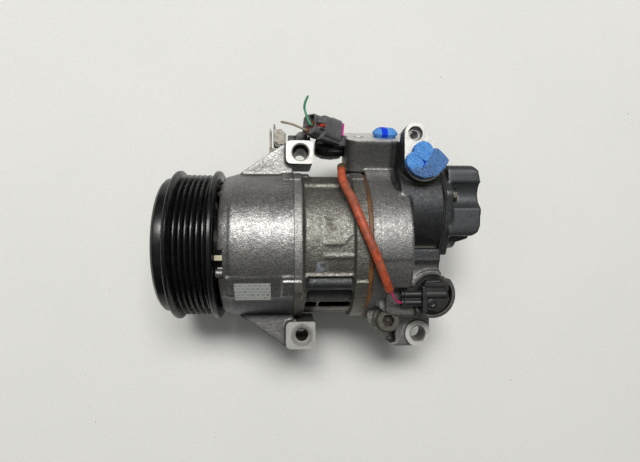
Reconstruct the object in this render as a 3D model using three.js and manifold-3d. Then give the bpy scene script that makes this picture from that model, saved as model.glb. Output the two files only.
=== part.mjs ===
// Automotive air-conditioning compressor: clutchless, variable displacement, swash-plate type.
// It lies on its side. In this design frame X runs along the drive shaft (pulley at -X), X = 0 is the joint
// between the front housing and the cylinder block, and the shaft axis is Y = 0, Z = 0. Millimetres, +Z up.
import * as THREE from 'three';
import { mergeVertices } from 'three/addons/utils/BufferGeometryUtils.js';
import Module from 'manifold-3d';

const wasm = await Module();
wasm.setup();

// ---- driving dimensions -------------------------------------------------------------------------
const GAP = 0.3;                 // clearance between touching pieces
const SIDES = 24;                // facets on the big round castings
const SHAFT_R = 8;
const RUN_R = 8.3;               // bore of everything that sits round the shaft
const NOSE_R = 20;
const NOSE_BORE_R = 12.3;
const PULLEY_R = 52;
const PULLEY_FRONT = -81;
const PULLEY_REAR = -50;
const BELT_PITCH = 3.56;
const BELT_GROOVES = 6;
const FIRST_GROOVE = -74.5;
const CREST_R = 49.2;
const GROOVE_R = 46.4;
const COVER_FRONT = -88.7;
const COVER_R = 46.6;
const FRONT_WALL = -41;
const FRONT_R = 49.9;
const PAD_FRONT = -7.3;          // front face of the thick rim at the joint with the block
const CAVITY_R = 39.3;
const SPIGOT_R = 41.2;
const BLOCK_FLANGE = 5;          // rear face of the block's front flange
const BLOCK_REAR = 46.5;
const BLOCK_REAR_FLANGE = 38.5;
const BLOCK_R = 47.5;
const FLANGE_R = 51;
const REAR_FLANGE_R = 52;
const GASKET_REAR = 49.35;
const REAR_START = 49.65;
const REAR_END = 76;
const REAR_R = 49.5;
const HEAD_CAVITY_R = 39.5;
const BOLT_CIRCLE = 45;
const BOLT_R = 2.9;
const BOLT_HOLE_R = 3.2;
const BOLT_HEAD_R = 4.1;
const BOLT_SEAT = -6.5;          // where the through bolts' heads rest, in pockets in the front housing
const BOLT_ANGLES = [-33, 63, 129, 195, 261];   // from +Z towards +Y, clear of the ports
const CYLINDERS = 5;
const CYLINDER_CIRCLE = 26.5;
const CYLINDER_R = 12.2;
const PISTON_R = 12;
const PISTON_FRONT = -18.5;
const PISTON_REAR = 36;
const SWASH_R = 33;
const EAR_TOP = 20;
const EAR_BOTTOM = -16;
const EAR_HOLE_R = 4.3;
const REAR_EAR = { x: 88, y: -63.5, r: 8.8, hole: 5.1, top: 12, bottom: -0.5 };
const RELIEF = { x: 62.8, y: -51, r: 8.5, top: 22 };
const VALVE = { x: 91.7, y: -33.4, r: 15.9, top: 33, seat: 26.2 };
const PORT_TOP = 40;             // machined face of the port that looks along +Z
const PORT_BOLT = { x: 79.2, y: 72.3, r: 7.1 };
const PORT_BORE = { x: 84.8, y: 53.6, r: 12.8, bore: 8 };
const SIDE_PORT_TILT = 22;       // degrees, from +Y towards +Z
const SIDE_PORT = { bore: 65.2, bolt: 46.4, along: 15 };
const FOAM_R = 7.6;
const LEAD_R = 2.8;
const WIRE_R = 0.8;
const NECK = { y: 25, z: 5, r: 34.5, wall: 5 };
const NECK_END = 97.7;
const LID_START = 98.9;
const LID_FLANGE_END = 104;
const LID_END = 123.5;
const LID_BOLT_HEAD_R = 3.6;
const LID_BOLTS = [[32.5, 36], [0.5, 20], [48, -12], [6, -19]];
const CENTRE_X = 17.4;           // middle of the object's box along X and Y, moved to the origin
const CENTRE_Y = 13.1;

// ---- materials ----------------------------------------------------------------------------------
function finish(color, roughness, metalness) {
  return new THREE.MeshStandardMaterial({ color, roughness, metalness });
}
const castAluminium = finish(0x8b8b88, 0.55, 0.8);
const dirtyAluminium = finish(0x7a786f, 0.65, 0.7);
const darkAluminium = finish(0x3e4144, 0.5, 0.6);
const machined = finish(0xc4c4c0, 0.3, 0.9);
const steel = finish(0x9a9a98, 0.35, 0.9);
const blackPaint = finish(0x101113, 0.25, 0.3);
const blackPlastic = finish(0x17181b, 0.45, 0);
const greyPlastic = finish(0x5b5d60, 0.55, 0);
const rubber = finish(0x1a1a1a, 0.8, 0);
const amber = finish(0x6e461e, 0.6, 0);
const blueFoam = finish(0x4a90dc, 0.95, 0);
const redSleeve = finish(0xaa3c23, 0.6, 0);
const magentaWire = finish(0xc02050, 0.5, 0);
const greenWire = finish(0x32825a, 0.5, 0);
const tanWire = finish(0x8c826e, 0.5, 0);
const sealBrown = finish(0x6e2a1c, 0.6, 0);
const lockRed = finish(0x8c2018, 0.5, 0);
const silverLabel = finish(0xb4b6b4, 0.4, 0.3);

// ---- solids: closed geometry in and out of the boolean library ------------------------------------
function toSolid(geometry) {
  const bare = geometry.clone();
  bare.deleteAttribute('normal');
  bare.deleteAttribute('uv');
  const merged = mergeVertices(bare, 1e-4);
  const p = merged.attributes.position.array;
  const triangles = [];
  let volume = 0;
  for (let i = 0; i < merged.index.count; i += 3) {
    const [a, b, c] = [0, 1, 2].map((k) => merged.index.getX(i + k));
    if (a === b || b === c || c === a) continue;
    triangles.push([a, b, c]);
    const [va, vb, vc] = [a, b, c].map((v) => new THREE.Vector3().fromArray(p, 3 * v));
    volume += va.dot(vb.cross(vc)) / 6;
  }
  if (volume < 0) triangles.forEach((t) => t.reverse());
  return new wasm.Manifold(new wasm.Mesh({
    numProp: 3,
    vertProperties: Float32Array.from(p),
    triVerts: Uint32Array.from(triangles.flat()),
  }));
}

const join = (...solids) => solids.reduce((a, b) => a.add(b));
const cut = (body, ...tools) => tools.reduce((a, b) => a.subtract(b), body);

// ---- building blocks -----------------------------------------------------------------------------
function box(x0, x1, y0, y1, z0, z1) {
  const g = new THREE.BoxGeometry(x1 - x0, y1 - y0, z1 - z0);
  return toSolid(g.translate((x0 + x1) / 2, (y0 + y1) / 2, (z0 + z1) / 2));
}

function cylinderX(r, x0, x1, y = 0, z = 0, sides = 24) {
  const g = new THREE.CylinderGeometry(r, r, x1 - x0, sides).rotateZ(-Math.PI / 2);
  return toSolid(g.translate((x0 + x1) / 2, y, z));
}

function cylinderY(r, x, y0, y1, z, sides = 16) {
  return toSolid(new THREE.CylinderGeometry(r, r, y1 - y0, sides).translate(x, (y0 + y1) / 2, z));
}

function cylinderZ(r, x, y, z0, z1, sides = 24, topR = r) {
  const g = new THREE.CylinderGeometry(topR, r, z1 - z0, sides).rotateX(Math.PI / 2);
  return toSolid(g.translate(x, y, (z0 + z1) / 2));
}

// A body turned about the X axis. Its profile is a closed loop of [x, radius] points.
function turned(profile, sides = SIDES) {
  const loop = [...profile, profile[0]].map(([x, r]) => new THREE.Vector2(r, x));
  return toSolid(new THREE.LatheGeometry(loop, sides).rotateZ(-Math.PI / 2));
}

function ring(x0, x1, inner, outer, sides = SIDES) {
  return turned([[x0, inner], [x0, outer], [x1, outer], [x1, inner]], sides);
}

function ringZ(x, y, inner, outer, z0, z1, sides = 24) {
  return cut(cylinderZ(outer, x, y, z0, z1, sides), cylinderZ(inner, x, y, z0 - 1, z1 + 1, sides));
}

function prismZ(outline, z0, z1) {
  const shape = new THREE.Shape(outline.map(([x, y]) => new THREE.Vector2(x, y)));
  const g = new THREE.ExtrudeGeometry(shape, { depth: z1 - z0, bevelEnabled: false });
  return toSolid(g.translate(0, 0, z0));
}

// A prism along X with its outline given as [y, z] points.
function prismX(outline, x0, x1) {
  const shape = new THREE.Shape(outline.map(([y, z]) => new THREE.Vector2(y, z)));
  const g = new THREE.ExtrudeGeometry(shape, { depth: x1 - x0, bevelEnabled: false });
  const yzx = new THREE.Matrix4().makeBasis(
    new THREE.Vector3(0, 1, 0), new THREE.Vector3(0, 0, 1), new THREE.Vector3(1, 0, 0));
  return toSolid(g.applyMatrix4(yzx).translate(x0, 0, 0));
}

function arc(cx, cy, r, from, to, steps) {
  return Array.from({ length: steps + 1 }, (_, i) => {
    const a = THREE.MathUtils.degToRad(from + ((to - from) * i) / steps);
    return [cx + r * Math.cos(a), cy + r * Math.sin(a)];
  });
}

function roundedRectangle(a0, a1, b0, b1, r, steps = 3) {
  return [...arc(a1 - r, b1 - r, r, 0, 90, steps), ...arc(a0 + r, b1 - r, r, 90, 180, steps),
    ...arc(a0 + r, b0 + r, r, 180, 270, steps), ...arc(a1 - r, b0 + r, r, 270, 360, steps)];
}

// The outline of a strap pulled round a set of points.
function hull(points) {
  const sorted = [...points].sort((p, q) => p[0] - q[0] || p[1] - q[1]);
  const turn = (o, a, b) => (a[0] - o[0]) * (b[1] - o[1]) - (a[1] - o[1]) * (b[0] - o[0]);
  const half = (list) => {
    const chain = [];
    for (const p of list) {
      while (chain.length > 1 && turn(chain.at(-2), chain.at(-1), p) <= 1e-6) chain.pop();
      chain.push(p);
    }
    return chain.slice(0, -1);
  };
  return [...half(sorted), ...half(sorted.reverse())];
}

// A round rod of radius r along a smooth curve through points, with an even number of steps.
function rod(points, r, sides, steps) {
  const path = new THREE.CatmullRomCurve3(points.map((p) => new THREE.Vector3(...p)));
  const circle = arc(0, 0, r, 0, 360, sides).slice(0, -1);
  const section = new THREE.Shape(circle.map((p) => new THREE.Vector2(...p)));
  return toSolid(new THREE.ExtrudeGeometry(section, { steps, extrudePath: path, bevelEnabled: false }));
}

// The Y and Z of a point at radius r and an angle in degrees from +Z towards +Y.
function polar(r, angle) {
  const a = THREE.MathUtils.degToRad(angle);
  return [r * Math.sin(a), r * Math.cos(a)];
}

const part = new THREE.Group();
part.position.set(-CENTRE_X, -CENTRE_Y, PULLEY_R);

function add(name, solid, material) {
  const found = solid.getMesh();
  const g = new THREE.BufferGeometry();
  g.setAttribute('position', new THREE.BufferAttribute(found.vertProperties, 3));
  g.setIndex(new THREE.BufferAttribute(found.triVerts, 1));
  g.computeVertexNormals();
  const mesh = new THREE.Mesh(g, material);
  mesh.name = name;
  part.add(mesh);
}

// ---- rotor: pulley, hub, shaft and swash plate ----------------------------------------------------
function pulleyGrooves() {
  const points = [];
  for (let i = 0; i < BELT_GROOVES; i += 1) {
    const x = FIRST_GROOVE + i * BELT_PITCH;
    points.push([x - BELT_PITCH / 2, CREST_R], [x, GROOVE_R]);
  }
  points.push([FIRST_GROOVE + (BELT_GROOVES - 0.5) * BELT_PITCH, CREST_R]);
  return points;
}

function pulley() {
  return turned([
    [PULLEY_FRONT, 44.5], [PULLEY_FRONT, 50], [-79.6, PULLEY_R], [-77.6, PULLEY_R], ...pulleyGrooves(),
    [-53, PULLEY_R], [-51, PULLEY_R], [PULLEY_REAR, 50.6], [PULLEY_REAR, 44.5],
    [-73, 44.5], [-73, 31], [-56, 31], [-56, 27.2], [-77, 27.2], [-77, 44.5],
  ]);
}

function addPulleyGroup() {
  add('pulley', pulley(), blackPaint);
  add('pulley_cover', turned([
    [-81.3, 43.5], [-81.3, COVER_R], [-86.8, COVER_R], [COVER_FRONT, 44.4],
    [COVER_FRONT, 33.6], [-86, 33.6], [-86, 43.5],
  ]), blackPaint);
  add('damper_rubber', ring(-85.7, -77.6, 33.2, 43.2), rubber);
  const fingers = [];
  for (let i = 0; i < 3; i += 1) {
    fingers.push(cylinderX(3.6, -86.5, -80, ...polar(25, 120 * i), 10));
  }
  add('drive_hub', cut(turned([
    [-77.8, RUN_R], [-83, RUN_R], [-83, 16], [-86, 18.5], [-86, 32.9], [-81.5, 32.9], [-80, 14], [-77.8, 14],
  ]), ...fingers), blackPaint);
  const nut = cylinderX(9, -88.4, COVER_FRONT + 5.4, 0, 0, 6);
  add('hub_nut', cut(nut, cylinderX(6, -90, -82, 0, 0, 16)), steel);
}

function addShaftGroup() {
  const thread = cylinderX(5.7, -88, -82.4, 0, 0, 16);
  add('drive_shaft', join(thread, cylinderX(SHAFT_R, -82.5, 44, 0, 0, 24)), steel);
  const lugEars = [box(-30, -19.6, 4.5, 8, 8.6, 14), box(-30, -19.6, -8, -4.5, 8.6, 14)];
  const pinHole = cylinderY(2.3, -22.6, -12, 12, 11.6, 10);
  const bore = cylinderX(RUN_R, -60, 60, 0, 0, 24);
  add('lug_plate', cut(join(ring(-37.4, -29, RUN_R, 32, 24), ...lugEars), bore, pinHole), steel);
  const hub = ring(-17, -3, 8.6, 14, 24);
  const arm = box(-25.2, -14, -3.6, 3.6, 9.2, 13.2);
  add('swash_plate', cut(join(ring(-12.5, -7.5, 8.6, SWASH_R, 24), hub, arm), pinHole), steel);
  add('hinge_pin', cylinderY(2, -22.6, -7.8, 7.8, 11.6, 10), steel);
  const turns = 5;
  const coil = [];
  for (let i = 0; i <= turns * 8; i += 1) {
    const [y, z] = polar(10, 45 * i);
    coil.push([-1.2 + (24 * i) / (turns * 8), y, z]);
  }
  add('swash_spring', rod(coil, 0.9, 5, turns * 8), steel);
}

// ---- housings --------------------------------------------------------------------------------------
function boltHoles(r, x0, x1, sides = 8) {
  return BOLT_ANGLES.map((a) => cylinderX(r, x0, x1, ...polar(BOLT_CIRCLE, a), sides));
}

// A front ear: a square boss on the outer end of a triangular web, with a bored hole along Z.
function frontEar(side, x1, inner, outer) {
  const flip = ([x, y]) => [x, side * y];
  const web = [[-38, 43], [-37.2, 49], [-6, outer - 0.4], [1, outer - 0.4], [1, 54], [-GAP, 54], [-GAP, 43]];
  const boss = [...arc(-1.3, outer - 4, 4, 90, 180, 3), ...arc(-1.3, inner + 4, 4, 180, 270, 3),
    [x1, inner], [x1, outer]];
  return join(prismZ(web.map(flip), -6, 14), prismZ(boss.map(flip), EAR_BOTTOM, EAR_TOP));
}

function frontHousing() {
  const shell = turned([
    [-77.4, NOSE_BORE_R], [-77.4, NOSE_R], [-76.8, NOSE_R], [-76.8, 18.8], [-75.6, 18.8], [-75.6, NOSE_R],
    [-50, NOSE_R + 0.2], [-47.5, 26], [-47.5, 47.2], [-44, 48], [-37, FRONT_R], [PAD_FRONT, FRONT_R],
    [PAD_FRONT, FLANGE_R],
    [-GAP / 2, FLANGE_R], [-GAP / 2, SPIGOT_R + GAP], [-4.3, SPIGOT_R + GAP], [-4.3, CAVITY_R],
    [FRONT_WALL, CAVITY_R], [FRONT_WALL, NOSE_BORE_R],
  ], SIDES);
  const bosses = BOLT_ANGLES.map((a) => cylinderX(7, PAD_FRONT, -GAP / 2, ...polar(BOLT_CIRCLE, a), 12));
  const ears = [frontEar(1, 13, 55.2, 71.2), frontEar(-1, 14.7, 52.7, 71.3)];
  const edgeNotch = box(-48, -44, -21, -3, 41, 50);
  const earHoles = [
    cylinderZ(EAR_HOLE_R, 4.7, 63.2, -30, 30, 16), cylinderZ(5.6, 4.7, 63.2, EAR_TOP - 9, 30, 20),
    cylinderZ(EAR_HOLE_R, 5.6, -62, -30, 30, 16), cylinderZ(6, 5.6, -62, EAR_TOP - 1.2, 30, 20),
  ];
  const chamber = join(cylinderX(CAVITY_R, FRONT_WALL, -4, 0, 0, SIDES),
    cylinderX(SPIGOT_R + GAP, -4.3, 1, 0, 0, SIDES));
  const pockets = boltHoles(BOLT_HEAD_R + 0.2, -20, BOLT_SEAT, 12);
  return cut(join(shell, ...bosses, ...ears), chamber, ...boltHoles(BOLT_HOLE_R, -14, 2), ...pockets,
    ...earHoles, edgeNotch);
}

function cylinderBlock() {
  const body = turned([
    [-4, 38.9], [-4, SPIGOT_R], [-3.4, SPIGOT_R], [-3.4, 39.6], [-1.2, 39.6], [-1.2, SPIGOT_R],
    [GAP / 2, SPIGOT_R], [GAP / 2, FLANGE_R], [BLOCK_FLANGE, FLANGE_R], [BLOCK_FLANGE + 1, BLOCK_R],
    [BLOCK_REAR_FLANGE, BLOCK_R], [BLOCK_REAR_FLANGE, REAR_FLANGE_R], [BLOCK_REAR, REAR_FLANGE_R],
    [BLOCK_REAR, NOSE_BORE_R], [2, NOSE_BORE_R], [2, 38.9],
  ], SIDES);
  const bosses = BOLT_ANGLES.map((a) => cylinderX(6.5, GAP / 2, BLOCK_REAR, ...polar(BOLT_CIRCLE, a), 12));
  const pads = [-18, 18].map((y) => box(BLOCK_REAR_FLANGE, BLOCK_REAR, y - 4, y + 4, -PULLEY_R, -44));
  const bores = [];
  for (let i = 0; i < CYLINDERS; i += 1) {
    bores.push(cylinderX(CYLINDER_R, -10, 60, ...polar(CYLINDER_CIRCLE, 15 + 72 * i), 16));
  }
  return cut(join(body, ...bosses, ...pads), ...bores, ...boltHoles(BOLT_HOLE_R, -2, 60));
}

// The side port's block leans towards +Z. Its machined face is the second edge of its outline in Y and Z.
const sideFace = { y: 71, z: 24, length: 33 };
const tilt = THREE.MathUtils.degToRad(SIDE_PORT_TILT);
const alongFace = (s) => [sideFace.y + s * Math.sin(tilt), sideFace.z - s * Math.cos(tilt)];

// A round tool or plug square to the side port's face, from depth a to height b, s along the face.
function squareToFace(r, x, s, a, b, sides = 20, topR = r) {
  const g = new THREE.CylinderGeometry(topR, r, b - a, sides).translate(0, (a + b) / 2, 0).rotateX(tilt);
  const [y, z] = alongFace(s);
  return toSolid(g.translate(x, y, z));
}

const portOutline = () => hull([...arc(PORT_BOLT.x, PORT_BOLT.y, PORT_BOLT.r, 0, 360, 16),
  ...arc(PORT_BORE.x, PORT_BORE.y, PORT_BORE.r, 0, 360, 20)]);

function rearHousing() {
  const shell = turned([
    [REAR_START, HEAD_CAVITY_R], [REAR_START, REAR_R], [REAR_END, REAR_R], [REAR_END, 0],
    [71, 0], [71, HEAD_CAVITY_R],
  ], SIDES);
  const divider = ring(52, 72, 25, 28, 24);
  const neck = cylinderX(NECK.r, 70, NECK_END, NECK.y, NECK.z, SIDES)
    .intersect(box(70, 99, -9.5, 53, -40, 50));
  const chamber = cylinderX(NECK.r - NECK.wall, 81, 99, NECK.y, NECK.z, 24)
    .intersect(box(70, 99, -4.5, 48, -40, 50));
  const [ya, za] = alongFace(0);
  const [yb, zb] = alongFace(sideFace.length);
  const sideBlock = prismX([[40, 22], [ya, za], [yb, zb], [56, -14], [40, -14]], 36.5, 76);
  const frontRelief = cylinderX(REAR_FLANGE_R + 0.8, 30, REAR_START, 0, 0, SIDES);
  const port = prismZ(portOutline(), 2, PORT_TOP);
  const valveBoss = cylinderZ(VALVE.r, VALVE.x, VALVE.y, -24, VALVE.top, 24);
  const valveWeb = prismZ([[70, -44], [88, -44], [97, -34], [96, -5], [70, -5]], -18, 21);
  const reliefBoss = cylinderZ(RELIEF.r, RELIEF.x, RELIEF.y, -12, RELIEF.top, 20);
  const earPlan = [[60, -46], [66, -60], [67, -70], [72, -72.3], [88, -72.3], [96.8, -63.5],
    [96.8, -44], [70, -40]];
  const ear = join(prismZ(earPlan, -4, 10),
    cylinderZ(REAR_EAR.r, REAR_EAR.x, REAR_EAR.y, REAR_EAR.bottom - 3.5, REAR_EAR.top, 24));
  const solid = join(shell, divider, neck, sideBlock, port, valveBoss, valveWeb, reliefBoss, ear);
  return cut(solid, frontRelief, chamber, cylinderX(HEAD_CAVITY_R, 49, 71, 0, 0, SIDES).subtract(divider),
    ...boltHoles(BOLT_HOLE_R, 40, 68.5),
    cylinderZ(PORT_BORE.bore, PORT_BORE.x, PORT_BORE.y - 1, 22, 60, 20),
    cylinderZ(4.9, PORT_BOLT.x, PORT_BOLT.y, PORT_TOP - 2.5, 60, 16),
    cylinderZ(2.8, PORT_BOLT.x, PORT_BOLT.y, 18, 60, 12),
    squareToFace(8, SIDE_PORT.bore, SIDE_PORT.along, -16, 5),
    squareToFace(2.8, SIDE_PORT.bolt, SIDE_PORT.along, -12, 5, 12),
    squareToFace(4, SIDE_PORT.bolt, SIDE_PORT.along, -1.5, 5, 16),
    cylinderZ(13.4, VALVE.x, VALVE.y, VALVE.seat, 60, 24), cylinderZ(10, VALVE.x, VALVE.y, -19, 60, 16),
    box(57.5, 82, -50, -28.2, 31.8, 60), cylinderZ(9.2, RELIEF.x, RELIEF.y, RELIEF.top, 60, 16),
    cylinderZ(5, RELIEF.x, RELIEF.y, -6, 60, 16),
    cylinderZ(REAR_EAR.hole, REAR_EAR.x, REAR_EAR.y, -30, 60, 20),
    ...LID_BOLTS.map(([y, z]) => cylinderX(2.3, 88, 99, y, z, 10)));
}

function lidFlangeOutline() {
  const body = [...arc(NECK.y, NECK.z, NECK.r, 35, 165, 12),
    [-9.5, 26], [-9.5, -20], [0, -29], [48, -29], [53, -20]];
  const lugs = LID_BOLTS.flatMap(([y, z]) => arc(y, z, 6, 0, 360, 12));
  return hull([...body.filter(([y]) => y > -9.6 && y < 53.1), ...lugs]);
}

function mufflerLid() {
  const flange = prismX(lidFlangeOutline(), LID_START, LID_FLANGE_END);
  const shell = prismX(roundedRectangle(5, 53, -22, 37, 5), LID_FLANGE_END - 1, LID_END);
  const lobe = cylinderX(11, LID_FLANGE_END - 1, 118, 8, 4, 16);
  const valley = cylinderX(12, LID_FLANGE_END, LID_END + 2, 32.5, 45.5, 24);
  const seats = LID_BOLTS.map(([y, z]) => cylinderX(6.2, LID_FLANGE_END, 112, y, z, 16));
  const hollow = prismX(roundedRectangle(10, 48, -17, 27, 4, 2), 95, LID_END - 4);
  return cut(join(flange, shell, lobe), valley, ...seats, hollow,
    ...LID_BOLTS.map(([y, z]) => cylinderX(2.7, 90, 112, y, z, 10)));
}

function addHousings() {
  add('front_housing', frontHousing(), castAluminium);
  add('cylinder_block', cylinderBlock(), dirtyAluminium);
  add('rear_housing', rearHousing(), castAluminium);
  add('muffler_lid', mufflerLid(), darkAluminium);
  const lidHoles = LID_BOLTS.map(([y, z]) => cylinderX(2.7, 90, 112, y, z, 10));
  const gasketHole = prismX(roundedRectangle(8, 47, -18, 28, 4, 2), 90, 110);
  const gasket = prismX(lidFlangeOutline(), NECK_END + 0.2, LID_START - 0.2);
  add('lid_gasket', cut(gasket, gasketHole, ...lidHoles), rubber);
  LID_BOLTS.forEach(([y, z], i) => {
    const head = cylinderX(LID_BOLT_HEAD_R, LID_FLANGE_END + 0.2, 107.6, y, z, 6);
    add(`lid_bolt_${i + 1}`, join(head, cylinderX(2, 90, 105, y, z, 10)), steel);
  });
  BOLT_ANGLES.forEach((a, i) => {
    const [y, z] = polar(BOLT_CIRCLE, a);
    const head = cylinderX(BOLT_HEAD_R, -11.6, BOLT_SEAT - GAP, y, z, 8);
    add(`through_bolt_${i + 1}`, join(head, cylinderX(BOLT_R, -7, 68, y, z, 8)), steel);
  });
}

// ---- bearings, seals, pistons and the valve stack --------------------------------------------------
function piston(angle) {
  const [y, z] = polar(CYLINDER_CIRCLE, angle);
  const body = cylinderX(PISTON_R, PISTON_FRONT, PISTON_REAR, y, z, 16);
  return cut(body, cylinderX(SWASH_R + 1.2, -15.5, -4.5, 0, 0, SIDES), cylinderX(8.5, -5, 30, y, z, 10));
}

function portedPlate(x0, x1, r) {
  const holes = [];
  for (let i = 0; i < CYLINDERS; i += 1) {
    holes.push(cylinderX(2.6, x0 - 1, x1 + 1, ...polar(18.5, 15 + 72 * i), 6));
    if (r > 38) holes.push(cylinderX(3.6, x0 - 1, x1 + 1, ...polar(33, 15 + 72 * i), 6));
  }
  return cut(cylinderX(r, x0, x1, 0, 0, 24), ...holes);
}

function addInternals() {
  add('pulley_bearing', ring(-75.3, -56, 20.5, 26.9), steel);
  add('bearing_snap_ring', cut(ring(-76.6, -75.8, 19.1, 22.5, 24), box(-80, -70, -3, 3, 15, 30)), steel);
  add('shaft_seal', ring(-72, -66, RUN_R, 12, 20), rubber);
  add('front_bearing', ring(-58, -46, RUN_R, 12, 20), steel);
  add('thrust_bearing', ring(-40.7, -37.7, 12, 24, 24), steel);
  add('housing_oring', ring(-3.1, -1.5, 39.9, 41.2), rubber);
  add('rear_bearing', ring(28, 42, RUN_R, 12, 20), steel);
  for (let i = 0; i < CYLINDERS; i += 1) {
    add(`piston_${i + 1}`, piston(15 + 72 * i), machined);
  }
  add('suction_reed', portedPlate(46.8, 47.4, 39.2), steel);
  add('valve_plate', portedPlate(47.7, 49.6, 39.2), steel);
  add('discharge_reed', portedPlate(49.9, 50.5, 24), steel);
  const band = ring(BLOCK_REAR + 0.15, GASKET_REAR, HEAD_CAVITY_R, 50.3, SIDES);
  add('head_gasket', cut(band, ...boltHoles(BOLT_HOLE_R, 40, 60)), amber);
}

// ---- valves, plugs and leads ------------------------------------------------------------------------
function addValves() {
  const { x, y } = VALVE;
  const body = join(cylinderZ(9.6, x, y, -18.5, 27, 20), cylinderZ(12.9, x, y, 26.5, 29.6, 24));
  add('control_valve', cut(body, cylinderZ(2.4, x, y, -20, 14, 12)), machined);
  add('control_valve_plunger', cylinderZ(2.1, x, y, -16.5, 8, 12), steel);
  const ringGap = box(x + 9, x + 15, y - 2.5, y + 2.5, 29, 32);
  add('valve_snap_ring', cut(ringZ(x, y, 11.4, 13.1, 29.9, 31), ringGap), steel);
  const neck = cylinderZ(8, x, y, 29.9, 34, 16);
  const plugBody = prismZ(roundedRectangle(85.4, 98.6, -42.9, -23.6, 4), VALVE.top + GAP, 40);
  const collar = prismZ(roundedRectangle(83, 86.2, -44.2, -27.6, 1, 1), VALVE.top + GAP, 41);
  const tubes = [-32.8, -37.9].map((v) => cylinderX(2.5, 69.8, 84, v, 36.2, 12));
  add('valve_connector', join(neck, plugBody, collar, ...tubes), blackPlastic);
  const hex = cylinderZ(7.4, RELIEF.x, RELIEF.y, RELIEF.top + GAP, 30, 6);
  const barrel = cylinderZ(4.7, RELIEF.x, RELIEF.y, -4, RELIEF.top + 1, 16);
  const socket = cylinderZ(4.2, RELIEF.x, RELIEF.y, 25.5, 40, 12);
  add('relief_valve', cut(join(hex, barrel), socket, cylinderZ(2.9, RELIEF.x, RELIEF.y, -10, 11, 12)), steel);
  add('relief_poppet', cylinderZ(2.6, RELIEF.x, RELIEF.y, -3.6, 8.4, 12), steel);
  const squeezed = squareToFace(FOAM_R, SIDE_PORT.bore, SIDE_PORT.along, -12, 1, 16);
  const flared = squareToFace(FOAM_R, SIDE_PORT.bore, SIDE_PORT.along, 0.9, 5.8, 16, 8.8);
  add('side_port_plug', join(squeezed, flared), blueFoam);
  const p = PORT_BORE;
  const stem = cylinderZ(FOAM_R, p.x, p.y - 1, 26, PORT_TOP + 3, 20);
  const cap = prismZ(hull([...arc(84, 60, 6.6, 0, 180, 8), ...arc(79.3, 53, 6.6, 90, 270, 8),
    ...arc(84.5, 51, 8.6, 180, 300, 8), ...arc(94, 57, 3.6, -40, 80, 4)]), PORT_TOP + 2.2, 48.5);
  add('top_port_plug', join(stem, cap), blueFoam);
}

function addLeads() {
  const sleeve = [
    [32.8, 60, 5], [32.5, 56.8, 12], [32.4, 54, 18.5], [32.2, 50.3, 25.2], [31.5, 43, 35.5],
    [33.4, 35.2, 43.5], [36.2, 28.5, 48.2], [38.7, 20.7, 52], [41.7, 12.7, 54.4], [44.9, 4.9, 55.6],
    [48.3, -3, 55.5], [54.2, -16.6, 52.9], [60.4, -30.1, 46.2],
  ];
  add('lead_sleeve', rod(sleeve, LEAD_R, 8, 28), redSleeve);
  const wire = [[60.9, -31.3, 45.4], [63.4, -35.2, 42.5], [66.2, -37.4, 38.6], [69.3, -37.9, 36.9]];
  add('lead_wire', rod(wire, 0.9, 8, 8), magentaWire);
}

// Local frame of the harness connector: u runs towards the mated half, v across it.
const CONNECTOR = { x: 22.3, y: 80.2, z: 15.2, pitch: 40, turn: -6 };
function placed(solid) {
  const { x, y, z, pitch, turn } = CONNECTOR;
  return solid.rotate([0, pitch, turn]).translate([x, y, z]);
}

const WIRES = [[-0.8, 2.9], [-4.3, -1.6]];   // v and w of the two wires

function connectorPoint(u, v, w) {
  const angles = [0, CONNECTOR.pitch, CONNECTOR.turn].map(THREE.MathUtils.degToRad);
  const p = new THREE.Vector3(u, v, w).applyEuler(new THREE.Euler(...angles, 'ZYX'));
  return [p.x + CONNECTOR.x, p.y + CONNECTOR.y, p.z + CONNECTOR.z];
}

function addHarness() {
  const shell = prismX(roundedRectangle(-7.4, 7.4, -8.5, 8.5, 3), -16, 8);
  const cavities = WIRES.map(([v, w]) => cylinderX(2.7, -20, -7, v, w, 12));
  const socket = box(-5, 9, -5.3, 5.3, -5.8, 5.8);
  const lockSlot = box(-13, -3.2, -2.4, 2.4, 6.6, 10);
  add('harness_connector', placed(cut(shell, ...cavities, socket, lockSlot)), greyPlastic);
  const slider = join(box(-9.4, -3.6, -2, 2, 6.9, 8.7), box(-9.4, -6.8, -1.6, 1.6, 8.5, 9.9));
  add('connector_lock', placed(slider), lockRed);
  WIRES.forEach(([v, w], i) => {
    add(`wire_seal_${i + 1}`, placed(cylinderX(2.45, -14.6, -7.3, v, w, 12)), sealBrown);
  });
  const [[v1, w1], [v2, w2]] = WIRES;
  const green = [connectorPoint(-14.9, v1, w1), connectorPoint(-17.5, v1, w1),
    [7.5, 89.5, 27], [7.2, 93.6, 29], [9.1, 98.2, 30]];
  const tan = [connectorPoint(-14.9, v2, w2), connectorPoint(-17.5, v2, w2),
    [-1.2, 80.9, 25.4], [-8.1, 82.3, 25.4]];
  add('wire_stub_green', rod(green, WIRE_R, 8, 12), greenWire);
  add('wire_stub_tan', rod(tan, WIRE_R, 8, 10), tanWire);
  const male = placed(join(box(-4.6, 10, -5, 5, -5.5, 5.5), box(8.3, 10, -5.5, 5, -11, 5)));
  const base = prismZ([[15.5, 65.5], [26, 63.4], [36, 63.4], [36, 73.5], [24, 78], [15.5, 76]], -10, 3);
  add('pigtail_connector', join(male, base), blackPlastic);
}

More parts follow.
